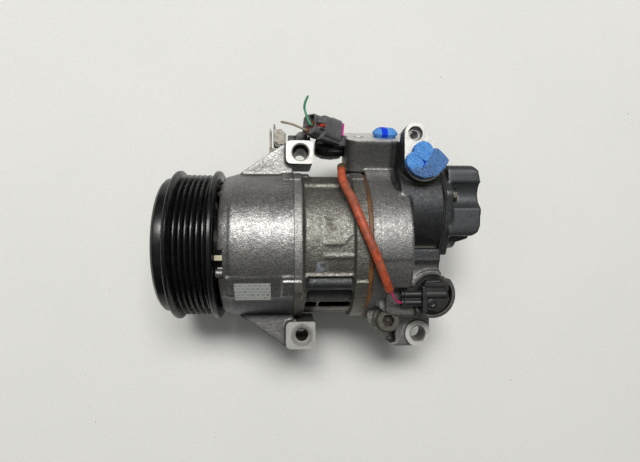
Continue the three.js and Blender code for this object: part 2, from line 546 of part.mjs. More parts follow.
function addBrackets() {
  const plate = box(-17.6, -16.4, 60, 86, -20, -7);
  const foot = box(-17.6, -5.8, 58.5, 72.5, -8, -6.4);
  const tab = box(-13.4, -5.6, 72, 84.5, -8, -6.4);
  const upright = box(-14.6, -13.4, 68, 89, -20, -6.4);
  add('steel_bracket', join(plate, foot, tab, upright), steel);
  add('connector_clip', join(box(-4, 10, 71.6, 75.6, 2, 12), cylinderZ(3.4, 3, 75, 2, 14, 14)), blackPlastic);
  const wrap = ring(-37.8, -14.6, FRONT_R + 0.1, FRONT_R + 0.45, SIDES);
  add('rating_label', wrap.intersect(box(-40, -10, -35.6, -24.3, 20, 60)), silverLabel);
}

addPulleyGroup();
addShaftGroup();
addHousings();
addInternals();
addValves();
addLeads();
addHarness();
addBrackets();

export default part;
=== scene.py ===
import math

import bmesh
import bpy
from mathutils import Matrix, Vector


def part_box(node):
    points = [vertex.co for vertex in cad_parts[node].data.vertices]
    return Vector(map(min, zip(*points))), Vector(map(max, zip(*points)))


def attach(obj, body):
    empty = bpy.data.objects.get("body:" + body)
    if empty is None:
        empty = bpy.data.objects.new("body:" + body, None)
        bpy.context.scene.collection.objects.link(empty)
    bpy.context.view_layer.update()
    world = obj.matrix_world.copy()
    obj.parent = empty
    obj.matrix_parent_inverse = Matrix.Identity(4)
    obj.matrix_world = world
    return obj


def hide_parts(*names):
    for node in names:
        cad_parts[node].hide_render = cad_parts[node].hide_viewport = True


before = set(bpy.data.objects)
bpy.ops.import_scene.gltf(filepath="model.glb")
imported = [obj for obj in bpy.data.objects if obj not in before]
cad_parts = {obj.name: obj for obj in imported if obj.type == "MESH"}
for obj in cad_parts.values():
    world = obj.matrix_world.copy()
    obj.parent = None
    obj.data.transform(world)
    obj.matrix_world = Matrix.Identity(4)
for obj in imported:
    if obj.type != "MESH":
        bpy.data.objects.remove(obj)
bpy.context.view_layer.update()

# Lengths below are millimetres in the compressor's own frame: X along the shaft, X = 0 at the joint between
# the front housing and the cylinder block, Y = 0 and Z = 0 on the shaft axis, Z up from the floor.
PULLEY_FRONT = -81.0
pulley_low, pulley_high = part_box("pulley")
ORIGIN = Vector((
    pulley_low.x - PULLEY_FRONT * 0.001,
    (pulley_low.y + pulley_high.y) / 2,
    (pulley_low.z + pulley_high.z) / 2,
))
TO_ROW = Matrix.Translation(ORIGIN) @ Matrix.Scale(0.001, 4)
FLOOR = -52.0

ROUND = 128
BELT_PITCH, FIRST_GROOVE = 3.56, -74.5
CYLINDER_CIRCLE = 26.5
BOLT_ANGLES = (-33, 63, 129, 195, 261)
BOLT_CIRCLE = 45.0
CYLINDERS = [15 + 72 * i for i in range(5)]
SIDE_TILT = math.radians(22)
SIDE_FACE = (71.0, 24.0)
SIDE_BORE, SIDE_BOLT = 65.2, 46.4
LID_BOLTS = ((32.5, 36), (0.5, 20), (48, -12), (6, -19))
CONNECTOR = (Matrix.Translation((22.3, 80.2, 15.2)) @ Matrix.Rotation(math.radians(-6), 4, "Z")
             @ Matrix.Rotation(math.radians(40), 4, "Y"))
WIRES = ((-0.8, 2.9), (-4.3, -1.6))
UPPER_EAR, LOWER_EAR, REAR_EAR = (4.7, 63.2), (5.6, -62), (88, -63.5)
TOP_PORT, TOP_BOLT = (84.8, 52.6), (79.2, 72.3)
CONTROL_VALVE, RELIEF_VALVE = (91.7, -33.4), (62.8, -51)


def in_row(x, y, z):
    return TO_ROW @ Vector((x, y, z))


# ---- outlines -------------------------------------------------------------------------------------
def polar(r, angle):
    a = math.radians(angle)
    return r * math.sin(a), r * math.cos(a)


def arc(cx, cy, r, start, end, steps=12):
    turns = [math.radians(start + (end - start) * i / steps) for i in range(steps + 1)]
    return [(cx + r * math.cos(a), cy + r * math.sin(a)) for a in turns]


def rounded(outline, r, steps=4):
    """The closed outline with its corners rounded; r is one radius or one per corner."""
    n = len(outline)
    radii = r if hasattr(r, "__len__") else [r] * n
    points = []
    for i, corner in enumerate(outline):
        p, a, b = (Vector(q) for q in (corner, outline[i - 1], outline[(i + 1) % n]))
        u, v = (a - p), (b - p)
        if radii[i] <= 0 or u.length < 1e-6 or v.length < 1e-6:
            points.append(tuple(p))
            continue
        cosine = max(-1.0, min(1.0, u.normalized().dot(v.normalized())))
        half = math.acos(cosine) / 2
        if half > math.radians(88):
            points.append(tuple(p))
            continue
        back = min(radii[i] / math.tan(half), 0.48 * u.length, 0.48 * v.length)
        start, end = p + u.normalized() * back, p + v.normalized() * back
        for k in range(steps + 1):
            t = k / steps
            points.append(tuple(start * (1 - t) ** 2 + p * 2 * t * (1 - t) + end * t * t))
    return points


def rectangle(a0, a1, b0, b1, r=0.0):
    return rounded([(a0, b0), (a1, b0), (a1, b1), (a0, b1)], r, 5)


def hull(points):
    ordered = sorted(set(points))

    def half(sequence):
        chain = []
        for p in sequence:
            while len(chain) > 1 and (
                (chain[-1][0] - chain[-2][0]) * (p[1] - chain[-2][1])
                - (chain[-1][1] - chain[-2][1]) * (p[0] - chain[-2][0])
            ) <= 1e-6:
                chain.pop()
            chain.append(p)
        return chain[:-1]

    return half(ordered) + half(ordered[::-1])


# ---- closed solids --------------------------------------------------------------------------------
def solid(points, faces):
    mesh = bpy.data.meshes.new("solid")
    mesh.from_pydata([tuple(p) for p in points], [], faces)
    bm = bmesh.new()
    bm.from_mesh(mesh)
    bmesh.ops.recalc_face_normals(bm, faces=bm.faces)
    bmesh.ops.triangulate(bm, faces=[f for f in bm.faces if len(f.verts) > 4])
    bm.to_mesh(mesh)
    bm.free()
    obj = bpy.data.objects.new("solid", mesh)
    bpy.context.scene.collection.objects.link(obj)
    return obj


def loft(rings):
    """A closed body through rings of points, each with the same count, with flat ends."""
    n = len(rings[0])
    faces = [tuple(range(n))[::-1]]
    for k in range(len(rings) - 1):
        for i in range(n):
            j = (i + 1) % n
            faces.append((k * n + i, k * n + j, (k + 1) * n + j, (k + 1) * n + i))
    faces.append(tuple(range((len(rings) - 1) * n, len(rings) * n)))
    return solid([p for ring in rings for p in ring], faces)


def level(axis, outline, h):
    """The outline's points at height h along an axis; the outline is in (Y, Z), (X, Z) or (X, Y)."""
    place = {
        "x": lambda p: (h, p[0], p[1]),
        "y": lambda p: (p[0], h, p[1]),
        "z": lambda p: (p[0], p[1], h),
    }[axis]
    return [place(p) for p in outline]


def prism(axis, outline, a, b):
    return loft([level(axis, outline, a), level(axis, outline, b)])


def cylinder(axis, r, centre, a, b, sides=48, end_r=None):
    start, end = (arc(*centre, radius, 0, 360, sides)[:-1] for radius in (r, r if end_r is None else end_r))
    return loft([level(axis, start, a), level(axis, end, b)])


def block(x0, x1, y0, y1, z0, z1):
    return prism("z", rectangle(x0, x1, y0, y1), z0, z1)


def lathe(profile, sides=ROUND, centre=(0.0, 0.0)):
    """A body turned about the X axis from a closed loop of (x, radius) points, all off the axis."""
    n = len(profile)
    points, faces = [], []
    for k in range(sides):
        a = 2 * math.pi * k / sides
        points += [(x, centre[0] + r * math.sin(a), centre[1] + r * math.cos(a)) for x, r in profile]
    for k in range(sides):
        m = (k + 1) % sides
        for i in range(n):
            j = (i + 1) % n
            faces.append((k * n + i, k * n + j, m * n + j, m * n + i))
    return solid(points, faces)


def smooth_path(points, steps=8):
    path = []
    ps = [Vector(p) for p in points]
    ps = [ps[0] * 2 - ps[1], *ps, ps[-1] * 2 - ps[-2]]
    for i in range(1, len(ps) - 2):
        a, b, c, d = ps[i - 1:i + 3]
        for k in range(steps):
            t = k / steps
            path.append(0.5 * (2 * b + (c - a) * t + (2 * a - 5 * b + 4 * c - d) * t * t
                               + (3 * b - a - 3 * c + d) * t ** 3))
    return path + [ps[-2]]


def rod(points, radius, sides=16, steps=8):
    """A round rod along a smooth line. radius may be a function of the share of the way along."""
    path = smooth_path(points, steps)
    rings = []
    side = None
    for i, p in enumerate(path):
        along = (path[min(i + 1, len(path) - 1)] - path[max(i - 1, 0)]).normalized()
        side = along.orthogonal() if side is None else side - along * side.dot(along)
        side.normalize()
        other = along.cross(side)
        r = radius(i / (len(path) - 1)) if callable(radius) else radius
        rings.append([p + (side * math.cos(a) + other * math.sin(a)) * r
                      for a in (2 * math.pi * k / sides for k in range(sides))])
    return loft(rings)


# ---- shaping --------------------------------------------------------------------------------------
def baked(obj):
    depsgraph = bpy.context.evaluated_depsgraph_get()
    mesh = bpy.data.meshes.new_from_object(obj.evaluated_get(depsgraph))
    obj.modifiers.clear()
    obj.data = mesh
    return obj


def combine(obj, tools, operation, material=None):
    for tool in tools:
        if material is not None:
            tool.data.materials.clear()
            tool.data.materials.append(material)
        m = obj.modifiers.new("combine", "BOOLEAN")
        m.operation, m.solver, m.object = operation, "MANIFOLD", tool
        m.material_mode = "TRANSFER"
    baked(obj)
    for tool in tools:
        bpy.data.objects.remove(tool)
    return obj


def join(first, *others):
    return combine(first, others, "UNION") if others else first


def cut(obj, *tools, finish=None):
    return combine(obj, tools, "DIFFERENCE", finish)


def cast(obj, voxel=0.8, passes=6):
    """Rounds every edge and corner, as a casting's or moulding's are."""
    m = obj.modifiers.new("remesh", "REMESH")
    m.mode, m.voxel_size, m.use_smooth_shade = "VOXEL", voxel, True
    s = obj.modifiers.new("soften", "SMOOTH")
    s.factor, s.iterations = 0.5, passes
    return baked(obj)


def moved(obj, matrix):
    obj.data.transform(matrix)
    return obj


def turned(obj, degrees):
    """Turned about the shaft's axis."""
    return moved(obj, Matrix.Rotation(math.radians(degrees), 4, "X"))


def piece(name, obj, material, replaces=(), body="housing", sharp=38):
    """Names a finished solid, gives it its material and ties it to its body."""
    if not any(m is not None for m in obj.data.materials):
        obj.data.materials.clear()
        obj.data.materials.append(material)
    else:
        obj.data.materials[0] = material
    obj.data.transform(TO_ROW)
    obj.data.shade_smooth()
    obj.data.set_sharp_from_angle(angle=math.radians(sharp))
    obj.name = name
    obj.data.name = name
    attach(obj, body)
    if replaces:
        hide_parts(*replaces)
    return obj


# ---- materials ------------------------------------------------------------------------------------
class Surface:
    """A node material. Coordinates are the object's own, in metres."""

    def __init__(self, name, metallic=0.0, roughness=0.5, coat=0.0, specular=0.5):
        self.material = bpy.data.materials.new(name)
        self.material.use_nodes = True
        self.tree = self.material.node_tree
        self.shader = self.tree.nodes["Principled BSDF"]
        self.shader.inputs["Metallic"].default_value = metallic
        self.shader.inputs["Roughness"].default_value = roughness
        self.shader.inputs["Coat Weight"].default_value = coat
        self.shader.inputs["Coat Roughness"].default_value = 0.15
        self.shader.inputs["Specular IOR Level"].default_value = specular
        self.place = self.node("ShaderNodeTexCoord").outputs["Object"]
        self.height = None

    def node(self, kind, **settings):
        made = self.tree.nodes.new(kind)
        for key, value in settings.items():
            setattr(made, key, value)
        return made

    def link(self, source, target):
        self.tree.links.new(source, target)

    def stretched(self, scale):
        m = self.node("ShaderNodeMapping")
        m.inputs["Scale"].default_value = scale
        self.link(self.place, m.inputs["Vector"])
        return m.outputs["Vector"]

    def noise(self, scale, detail=3.0, rough=0.55, stretch=None):
        n = self.node("ShaderNodeTexNoise")
        n.inputs["Scale"].default_value = scale
        n.inputs["Detail"].default_value = detail
        n.inputs["Roughness"].default_value = rough
        self.link(self.stretched(stretch) if stretch else self.place, n.inputs["Vector"])
        return n.outputs["Fac"]

    def cells(self, scale):
        n = self.node("ShaderNodeTexVoronoi")
        n.inputs["Scale"].default_value = scale
        self.link(self.place, n.inputs["Vector"])
        return n.outputs["Distance"]

    def ranged(self, value, low, high, out_low=0.0, out_high=1.0):
        m = self.node("ShaderNodeMapRange")
        self.link(value, m.inputs["Value"])
        for key, number in (("From Min", low), ("From Max", high), ("To Min", out_low),
                            ("To Max", out_high)):
            m.inputs[key].default_value = number
        return m.outputs["Result"]

    def times(self, a, b, operation="MULTIPLY"):
        m = self.node("ShaderNodeMath", operation=operation)
        m.use_clamp = True
        for value, socket in ((a, m.inputs[0]), (b, m.inputs[1])):
            if isinstance(value, (int, float)):
                socket.default_value = value
            else:
                self.link(value, socket)
        return m.outputs[0]

    def mix(self, share, a, b):
        m = self.node("ShaderNodeMix", data_type="RGBA")
        self.link(share, m.inputs["Factor"])
        for value, socket in ((a, m.inputs[6]), (b, m.inputs[7])):
            if isinstance(value, tuple):
                socket.default_value = (*value, 1.0)
            else:
                self.link(value, socket)
        return m.outputs[2]

    def crevice_shade(self):
        # Ambient occlusion as a mask: painted shade in corners, creases and recesses.
        n = self.node("ShaderNodeAmbientOcclusion", samples=6)
        n.inputs["Distance"].default_value = 0.006
        return self.ranged(n.outputs["AO"], 0.85, 0.35)

    def edges(self):
        # Convex edges as a mask: wear, and painted highlights where the edges catch the light.
        return self.ranged(self.node("ShaderNodeNewGeometry").outputs["Pointiness"], 0.53, 0.6)

    def axis(self, index, low, high):
        split = self.node("ShaderNodeSeparateXYZ")
        self.link(self.place, split.inputs[0])
        return self.ranged(split.outputs[index], low, high)

    def patch(self, x0, x1, y0, y1, soft=1.0):
        """1 inside a rectangle of X and Y, which is given in the compressor's own millimetres."""
        low, high = in_row(x0, y0, 0), in_row(x1, y1, 0)
        share = None
        for index in (0, 1):
            for edge, fade in ((low[index], soft * 0.001), (high[index], -soft * 0.001)):
                side = self.axis(index, edge - fade, edge + fade)
                share = side if share is None else self.times(share, side)
        return share

    def beyond(self, x, y, slope, soft=1.0):
        """1 on the +X, +Y side of a line through (x, y) that falls by slope, in millimetres."""
        dot = self.node("ShaderNodeVectorMath", operation="DOT_PRODUCT")
        self.link(self.place, dot.inputs[0])
        dot.inputs[1].default_value = (slope, 1, 0)
        line = in_row(x, y, 0)
        level = line.x * slope + line.y
        return self.ranged(dot.outputs["Value"], level - soft * 0.001, level + soft * 0.001)

    def colour(self, value):
        socket = self.shader.inputs["Base Color"]
        if isinstance(value, tuple):
            socket.default_value = (*value, 1.0)
        else:
            self.link(value, socket)

    def roughness(self, value, low, high):
        self.link(self.ranged(value, 0.3, 0.7, low, high), self.shader.inputs["Roughness"])

    def metallic(self, value):
        self.link(value, self.shader.inputs["Metallic"])

    def bump(self, value, depth):
        """Adds a bump of that depth in millimetres under the ones before it."""
        b = self.node("ShaderNodeBump")
        b.inputs["Distance"].default_value = depth * 0.001
        b.inputs["Strength"].default_value = 1.0
        self.link(value, b.inputs["Height"])
        if self.height is not None:
            self.link(self.height, b.inputs["Normal"])
        self.height = b.outputs["Normal"]
        self.link(self.height, self.shader.inputs["Normal"])


def cast_metal(name, dark, light, grime, dirt=0.5, metallic=0.85, rough=(0.34, 0.6), grain=0.25, pits=0.0,
               scuff=None, painted_shade=None, clean=None):
    """Sand-cast or die-cast aluminium: sparkling grain, patches, dirt with painted shade in the corners,
    edges lightened by wear and as painted highlights, and optional painted shade patches.
    """
    s = Surface(name, metallic=metallic)
    fine, medium, broad = s.noise(1500, 2), s.noise(420, 4, 0.65), s.noise(45, 4, 0.6)
    base = s.mix(s.ranged(fine, 0.36, 0.66), dark, light)
    base = s.mix(s.ranged(broad, 0.35, 0.7, 0.0, 0.45), base, dark)
    # Lighter convex edges: wear, and painted edge highlights.
    worn = s.times(s.edges(), s.ranged(medium, 0.35, 0.6))
    base = s.mix(s.times(worn, 0.7), base, tuple(min(1.0, c * 2.2) for c in light))
    # Grime: noise stains, plus ambient-occlusion darkening that is painted shade in the corners.
    stain = s.times(s.ranged(s.noise(90, 5, 0.7), 0.5, 0.68), dirt)
    grime_and_crevice_shade = s.times(stain, s.times(s.crevice_shade(), 0.9), "ADD")
    grime_and_crevice_shade = s.times(grime_and_crevice_shade, s.ranged(medium, 0.25, 0.5))
    if pits:
        specks = s.times(s.ranged(s.cells(520), 0.24, 0.1), s.ranged(s.noise(70, 2), 0.5, 0.62))
        grime_and_crevice_shade = s.times(grime_and_crevice_shade, s.times(specks, pits), "ADD")
    if clean:
        grime_and_crevice_shade = s.times(grime_and_crevice_shade, s.ranged(s.patch(*clean), 0.0, 1.0, 1.0, 0.3))
        base = s.mix(s.times(s.patch(*clean), 0.5), base, (0.4, 0.4, 0.4))
    colour = s.mix(grime_and_crevice_shade, base, grime)
    # Painted shade: a dark blue-grey patch over the given rectangle, where that side lies in shade.
    if painted_shade:
        colour = s.mix(s.times(s.patch(*painted_shade), 0.72), colour, (0.022, 0.027, 0.036))
    if scuff:
        mark = s.times(s.patch(*scuff), s.ranged(s.noise(330, 5, 0.7), 0.46, 0.56))
        colour = s.mix(s.times(mark, 0.8), colour, (0.52, 0.58, 0.68))
    s.colour(colour)
    s.metallic(s.ranged(grime_and_crevice_shade, 0.0, 1.0, metallic, metallic * 0.35))
    s.roughness(medium, *rough)
    s.bump(medium, grain)
    s.bump(fine, grain * 0.5)
    return s.material


def machined_metal(name, light, stain, rough=(0.3, 0.5), dirt=0.6, metallic=0.5):
    s = Surface(name, metallic=metallic)
    lines = s.noise(900, 3, 0.6)
    base = s.mix(s.ranged(lines, 0.35, 0.65), tuple(c * 0.86 for c in light), light)
    spots = s.times(s.ranged(s.noise(330, 5, 0.7), 0.52, 0.66), s.ranged(s.noise(60, 3), 0.42, 0.6))
    s.colour(s.mix(s.times(spots, dirt), base, stain))
    s.roughness(s.noise(200, 4), *rough)
    s.bump(lines, 0.03)
    return s.material


def plastic(name, dark, light, rough=(0.3, 0.5), grain=0.04, dust=None, coat=0.0, specular=0.5):
    s = Surface(name, coat=coat, specular=specular)
    base = s.mix(s.ranged(s.noise(260, 4, 0.65), 0.35, 0.68), dark, light)
    if dust:
        base = s.mix(s.times(s.ranged(s.noise(120, 6, 0.75), 0.5, 0.72), 0.55), base, dust)
    s.colour(base)
    s.roughness(s.noise(150, 4), *rough)
    s.bump(s.noise(1300, 2), grain)
    return s.material


def foam(name, dark, light, speck, grime=0.0):
    s = Surface(name, roughness=0.95, specular=0.2)
    grain = s.noise(900, 3, 0.7)
    base = s.mix(s.ranged(grain, 0.35, 0.62), dark, light)
    base = s.mix(s.ranged(s.noise(1300, 2, 0.6), 0.6, 0.72, 0.0, 0.8), base, speck)
    if grime:
        near = s.patch(75, 89, 30, 50, 1.5)
        spots = s.times(s.ranged(s.noise(700, 4, 0.7), 0.5, 0.6), near)
        base = s.mix(s.times(spots, grime), base, (0.06, 0.03, 0.03))
    s.colour(base)
    s.bump(grain, 0.5)
    return s.material


def sleeve_material():
    s = Surface("red_sleeve", roughness=0.55)
    base = s.mix(s.ranged(s.noise(300, 4), 0.35, 0.65), (0.28, 0.04, 0.014), (0.5, 0.09, 0.032))
    soot = s.times(s.ranged(s.noise(130, 6, 0.75, (1, 0.5, 0.5)), 0.47, 0.62),
                   s.ranged(s.noise(30, 2), 0.38, 0.6))
    base = s.mix(s.times(soot, 0.75), base, (0.095, 0.085, 0.06))
    end = s.axis(1, in_row(0, 51.4, 0).y, in_row(0, 52.6, 0).y)
    s.colour(s.mix(end, base, (0.085, 0.065, 0.025)))
    s.bump(s.noise(700, 3), 0.06)
    return s.material


def gasket_material():
    s = Surface("amber_gasket", roughness=0.55)
    base = s.mix(s.ranged(s.noise(160, 4, 0.6, (2, 0.6, 0.6)), 0.35, 0.65), (0.075, 0.03, 0.01),
                 (0.19, 0.075, 0.016))
    base = s.mix(s.axis(1, in_row(0, 22, 0).y, in_row(0, 34, 0).y), base, (0.07, 0.032, 0.016))
    s.colour(s.mix(s.ranged(s.noise(60, 5, 0.7), 0.5, 0.7, 0.0, 0.7), base, (0.05, 0.03, 0.02)))
    s.bump(s.noise(400, 3), 0.15)
    return s.material


def label_material():
    s = Surface("silver_label", metallic=0.35, roughness=0.45)
    bricks = s.node("ShaderNodeTexBrick")
    bricks.inputs["Scale"].default_value = 1.0
    bricks.inputs["Color1"].default_value = (0.16, 0.16, 0.16, 1)
    bricks.inputs["Color2"].default_value = (0.4, 0.41, 0.4, 1)
    bricks.inputs["Mortar"].default_value = (0.56, 0.58, 0.57, 1)
    bricks.inputs["Brick Width"].default_value = 0.0031
    bricks.inputs["Row Height"].default_value = 0.0021
    bricks.inputs["Mortar Size"].default_value = 0.00055
    bricks.inputs["Mortar Smooth"].default_value = 0.4
    s.link(s.place, bricks.inputs["Vector"])
    worn = s.ranged(s.noise(420, 3), 0.38, 0.6, 0.15, 0.85)
    s.colour(s.mix(worn, bricks.outputs["Color"], (0.52, 0.54, 0.53)))
    s.bump(s.noise(500, 2), 0.05)
    return s.material


CAST_DARK, CAST_LIGHT = (0.13, 0.131, 0.136), (0.34, 0.335, 0.32)
# The front housing's -Y flank under the rating label gets a painted shade patch.
CAST = cast_metal("cast_aluminium", CAST_DARK, CAST_LIGHT, (0.05, 0.045, 0.035), dirt=0.35,
                  rough=(0.28, 0.46),
                  painted_shade=(-49, 2, -51.5, -35.5, 2.0))
# The block's channel gets a painted shade patch.
DIRTY = cast_metal("dirty_aluminium", (0.11, 0.107, 0.095), (0.29, 0.285, 0.26), (0.04, 0.033, 0.024),
                   dirt=0.7,
                   grain=0.4, pits=0.8, scuff=(14, 21, -18, -11), painted_shade=(7, 38, -37.5, -21),
                   clean=(-1, 5.3, -30, 60, 0.6))
DARK = cast_metal("dark_aluminium", (0.046, 0.049, 0.053), (0.09, 0.095, 0.102), (0.03, 0.027, 0.022),
                  dirt=0.3,
                  metallic=0.6, rough=(0.32, 0.5), grain=0.12)
MACHINED = machined_metal("machined_aluminium", (0.6, 0.595, 0.575), (0.13, 0.09, 0.05), rough=(0.35, 0.55),
                          metallic=0.4)
WORN = machined_metal("worn_face", (0.47, 0.465, 0.45), (0.09, 0.08, 0.065), dirt=1.0, rough=(0.3, 0.5))
BORE = machined_metal("bore_aluminium", (0.3, 0.29, 0.28), (0.08, 0.06, 0.04))
# Near-black metal for deep holes, recesses and the circlip in the valve's recess: painted shade where no
# light reaches.
RECESS_SHADE = machined_metal("recess_shade_metal", (0.05, 0.045, 0.038), (0.04, 0.025, 0.012))
DULL = machined_metal("dull_steel", (0.15, 0.143, 0.122), (0.04, 0.032, 0.02), metallic=0.8,
                      rough=(0.32, 0.55))
STEEL = machined_metal("steel", (0.24, 0.23, 0.21), (0.07, 0.055, 0.035), metallic=0.85)
PAINT = plastic("black_paint", (0.003, 0.003, 0.004), (0.007, 0.007, 0.008), (0.2, 0.34), 0.02,
                dust=(0.012, 0.012, 0.012), coat=0.0, specular=0.36)
PLASTIC = plastic("black_plastic", (0.007, 0.0075, 0.009), (0.015, 0.016, 0.018), (0.3, 0.5), 0.04,
                  dust=(0.03, 0.028, 0.025))
GREY = plastic("grey_plastic", (0.085, 0.085, 0.09), (0.13, 0.13, 0.135), (0.4, 0.6), 0.05,
               dust=(0.07, 0.06, 0.055))
RUBBER = plastic("black_rubber", (0.012, 0.012, 0.012), (0.03, 0.03, 0.03), (0.6, 0.8), 0.08)
AMBER = gasket_material()
BLUE = foam("blue_foam", (0.05, 0.19, 0.53), (0.11, 0.33, 0.76), (0.42, 0.62, 0.92), grime=0.8)
SLATE = foam("slate_foam", (0.05, 0.125, 0.3), (0.1, 0.22, 0.47), (0.25, 0.36, 0.55), grime=0.6)
DEEP = foam("deep_blue_foam", (0.0, 0.02, 0.5), (0.01, 0.06, 0.8), (0.02, 0.1, 0.9))
SLEEVE = sleeve_material()
MAGENTA = plastic("magenta_wire", (0.42, 0.012, 0.1), (0.6, 0.03, 0.16), (0.35, 0.5), 0.02)
PINK = plastic("pink_seal", (0.5, 0.03, 0.25), (0.7, 0.07, 0.38), (0.4, 0.6), 0.03)
GREEN = plastic("green_wire", (0.02, 0.2, 0.1), (0.06, 0.34, 0.19), (0.35, 0.5), 0.02)
TAN = plastic("tan_wire", (0.2, 0.17, 0.12), (0.34, 0.3, 0.22), (0.4, 0.6), 0.03)
BROWN = plastic("brown_seal", (0.1, 0.02, 0.012), (0.19, 0.045, 0.025), (0.4, 0.6), 0.04)
RED = plastic("red_lock", (0.24, 0.02, 0.012), (0.4, 0.045, 0.025), (0.35, 0.5), 0.03)
CREAM = plastic("cream_plastic", (0.42, 0.4, 0.28), (0.56, 0.54, 0.4), (0.5, 0.7), 0.05,
                dust=(0.15, 0.12, 0.07))
LABEL = label_material()


# ---- camera, floor and light ----------------------------------------------------------------------
def add_camera():
    data = bpy.data.cameras.new("camera")
    data.sensor_width, data.lens = 36.0, 25.2
    data.clip_start, data.clip_end = 0.01, 20.0
    camera = bpy.data.objects.new("camera", data)
    bpy.context.scene.collection.objects.link(camera)
    forward = Vector((0.07123, 0.02226, -0.99721)).normalized()
    right = Vector((1, 0, 0)) - forward * forward.x
    right.normalize()
    up = right.cross(forward)
    turn = Matrix((right, up, -forward)).transposed()
    camera.matrix_world = Matrix.Translation(in_row(-3.887, 2.187, 326)) @ turn.to_4x4()
    bpy.context.scene.camera = camera


def add_floor():
    s = Surface("floor", roughness=0.85, specular=0.2)
    broad = s.ranged(s.noise(7, 3), 0.3, 0.7)
    base = s.mix(broad, (0.755, 0.76, 0.74), (0.79, 0.79, 0.78))
    base = s.mix(s.ranged(s.noise(620, 4, 0.7), 0.35, 0.65, 0.0, 0.5), base, (0.66, 0.665, 0.65))
    specks = s.times(s.ranged(s.cells(75), 0.055, 0.03), s.ranged(s.noise(30, 2), 0.52, 0.6))
    s.colour(s.mix(s.times(specks, 0.7), base, (0.25, 0.24, 0.22)))
    s.bump(s.noise(500, 4), 0.1)
    size = 4.0
    z = in_row(0, 0, FLOOR).z - 0.0002
    mesh = bpy.data.meshes.new("floor")
    mesh.from_pydata([(-size, -size, z), (size, -size, z), (size, size, z), (-size, size, z)], [],
                     [(0, 1, 2, 3)])
    floor = bpy.data.objects.new("floor", mesh)
    mesh.materials.append(s.material)
    bpy.context.scene.collection.objects.link(floor)


def add_light(name, location, target, size, power, colour):
    data = bpy.data.lights.new(name, "AREA")
    data.shape, data.size, data.size_y = "RECTANGLE", size[0], size[1]
    data.energy, data.color = power, colour
    light = bpy.data.objects.new(name, data)
    light.location = location
    light.rotation_euler = (Vector(target) - Vector(location)).to_track_quat("-Z", "Y").to_euler()
    bpy.context.scene.collection.objects.link(light)


def add_world():
    """A room that is dark at its walls and pale overhead."""
    world = bpy.data.worlds.new("room")
    bpy.context.scene.world = world
    world.use_nodes = True
    tree = world.node_tree
    sky = tree.nodes["Background"]
    place = tree.nodes.new("ShaderNodeTexCoord")
    split = tree.nodes.new("ShaderNodeSeparateXYZ")
    ramp = tree.nodes.new("ShaderNodeValToRGB")
    tree.links.new(place.outputs["Generated"], split.inputs[0])
    tree.links.new(split.outputs["Z"], ramp.inputs["Fac"])
    tree.links.new(ramp.outputs["Color"], sky.inputs["Color"])
    steps = ((0.0, 0.02), (0.35, 0.035), (0.75, 0.1), (0.96, 0.36))
    ramp.color_ramp.elements[0].position, ramp.color_ramp.elements[1].position = steps[0][0], steps[-1][0]
    for position, _ in steps[1:-1]:
        ramp.color_ramp.elements.new(position)
    for element, (_, grey) in zip(ramp.color_ramp.elements, steps):
        element.color = (grey, grey, grey * 0.93, 1)
    sky.inputs["Strength"].default_value = 1.0


add_camera()
add_floor()
add_world()
add_light("key", (0.0, 1.2, 2.4), (0, 0, 0.03), (1.7, 0.7), 60.0, (1.0, 0.985, 0.96))
add_light("lamp", (-0.36, 1.1, 2.4), (0, 0, 0.03), (0.4, 0.4), 10.0, (1.0, 0.975, 0.93))
add_light("left", (-1.1, 0.3, 0.7), (0, 0, 0.03), (0.5, 0.8), 1.0, (0.9, 0.95, 1.0))
bpy.context.scene.view_settings.view_transform = "Standard"


# ---- pulley, hub and shaft ------------------------------------------------------------------------
def add_pulley():
    grooves = []
    for i in range(6):
        x = FIRST_GROOVE + BELT_PITCH * i
        grooves += [(x - 1.78, 49.0), (x - 1.5, 49.2), (x - 0.35, 46.5), (x + 0.35, 46.5), (x + 1.5, 49.2)]
    grooves.append((FIRST_GROOVE + 5.5 * BELT_PITCH, 49.0))
    front = [(-81, 44.5), (-81, 49.6), (-80.6, 50.2), (-79.9, 51.6), (-79.2, 52), (-78, 52), (-77.5, 51.6)]
    rear = [(-53.5, 51.6), (-53, 52), (-51.3, 52), (-50.6, 51.5), (-50, 50.4), (-50, 44.5)]
    inside = [(-72.4, 44.5), (-73, 43.9), (-73, 31.6), (-72.4, 31), (-56, 31), (-56, 27.2), (-76.4, 27.2),
              (-77, 27.8), (-77, 43.9), (-77.6, 44.5)]
    piece("pulley_wheel", lathe(front + grooves + rear + inside), PAINT, ["pulley"],
          body="rotor")
    cover = rounded([(-81.3, 43.5), (-81.3, 46.6), (-86.6, 46.6), (-88.7, 44.4), (-88.7, 33.6), (-86, 33.6),
                     (-86, 43.5)], [0.3, 0.3, 1.2, 1.2, 1.0, 0.4, 0.8])
    lip = lathe(rounded([(-88.5, 38), (-88.5, 40.6), (-89.0, 40.4), (-89.0, 38.2)], 0.2, 2))
    ring = join(lathe(cover), lip)
    ribs = [turned(prism("x", rectangle(-2.2, 2.2, 34.6, 37.4, 0.9), -90, -88.0),
                   60 * k + 30) for k in range(6)]
    piece("pulley_front_cover", cut(ring, *ribs), PAINT, ["pulley_cover"], body="rotor")


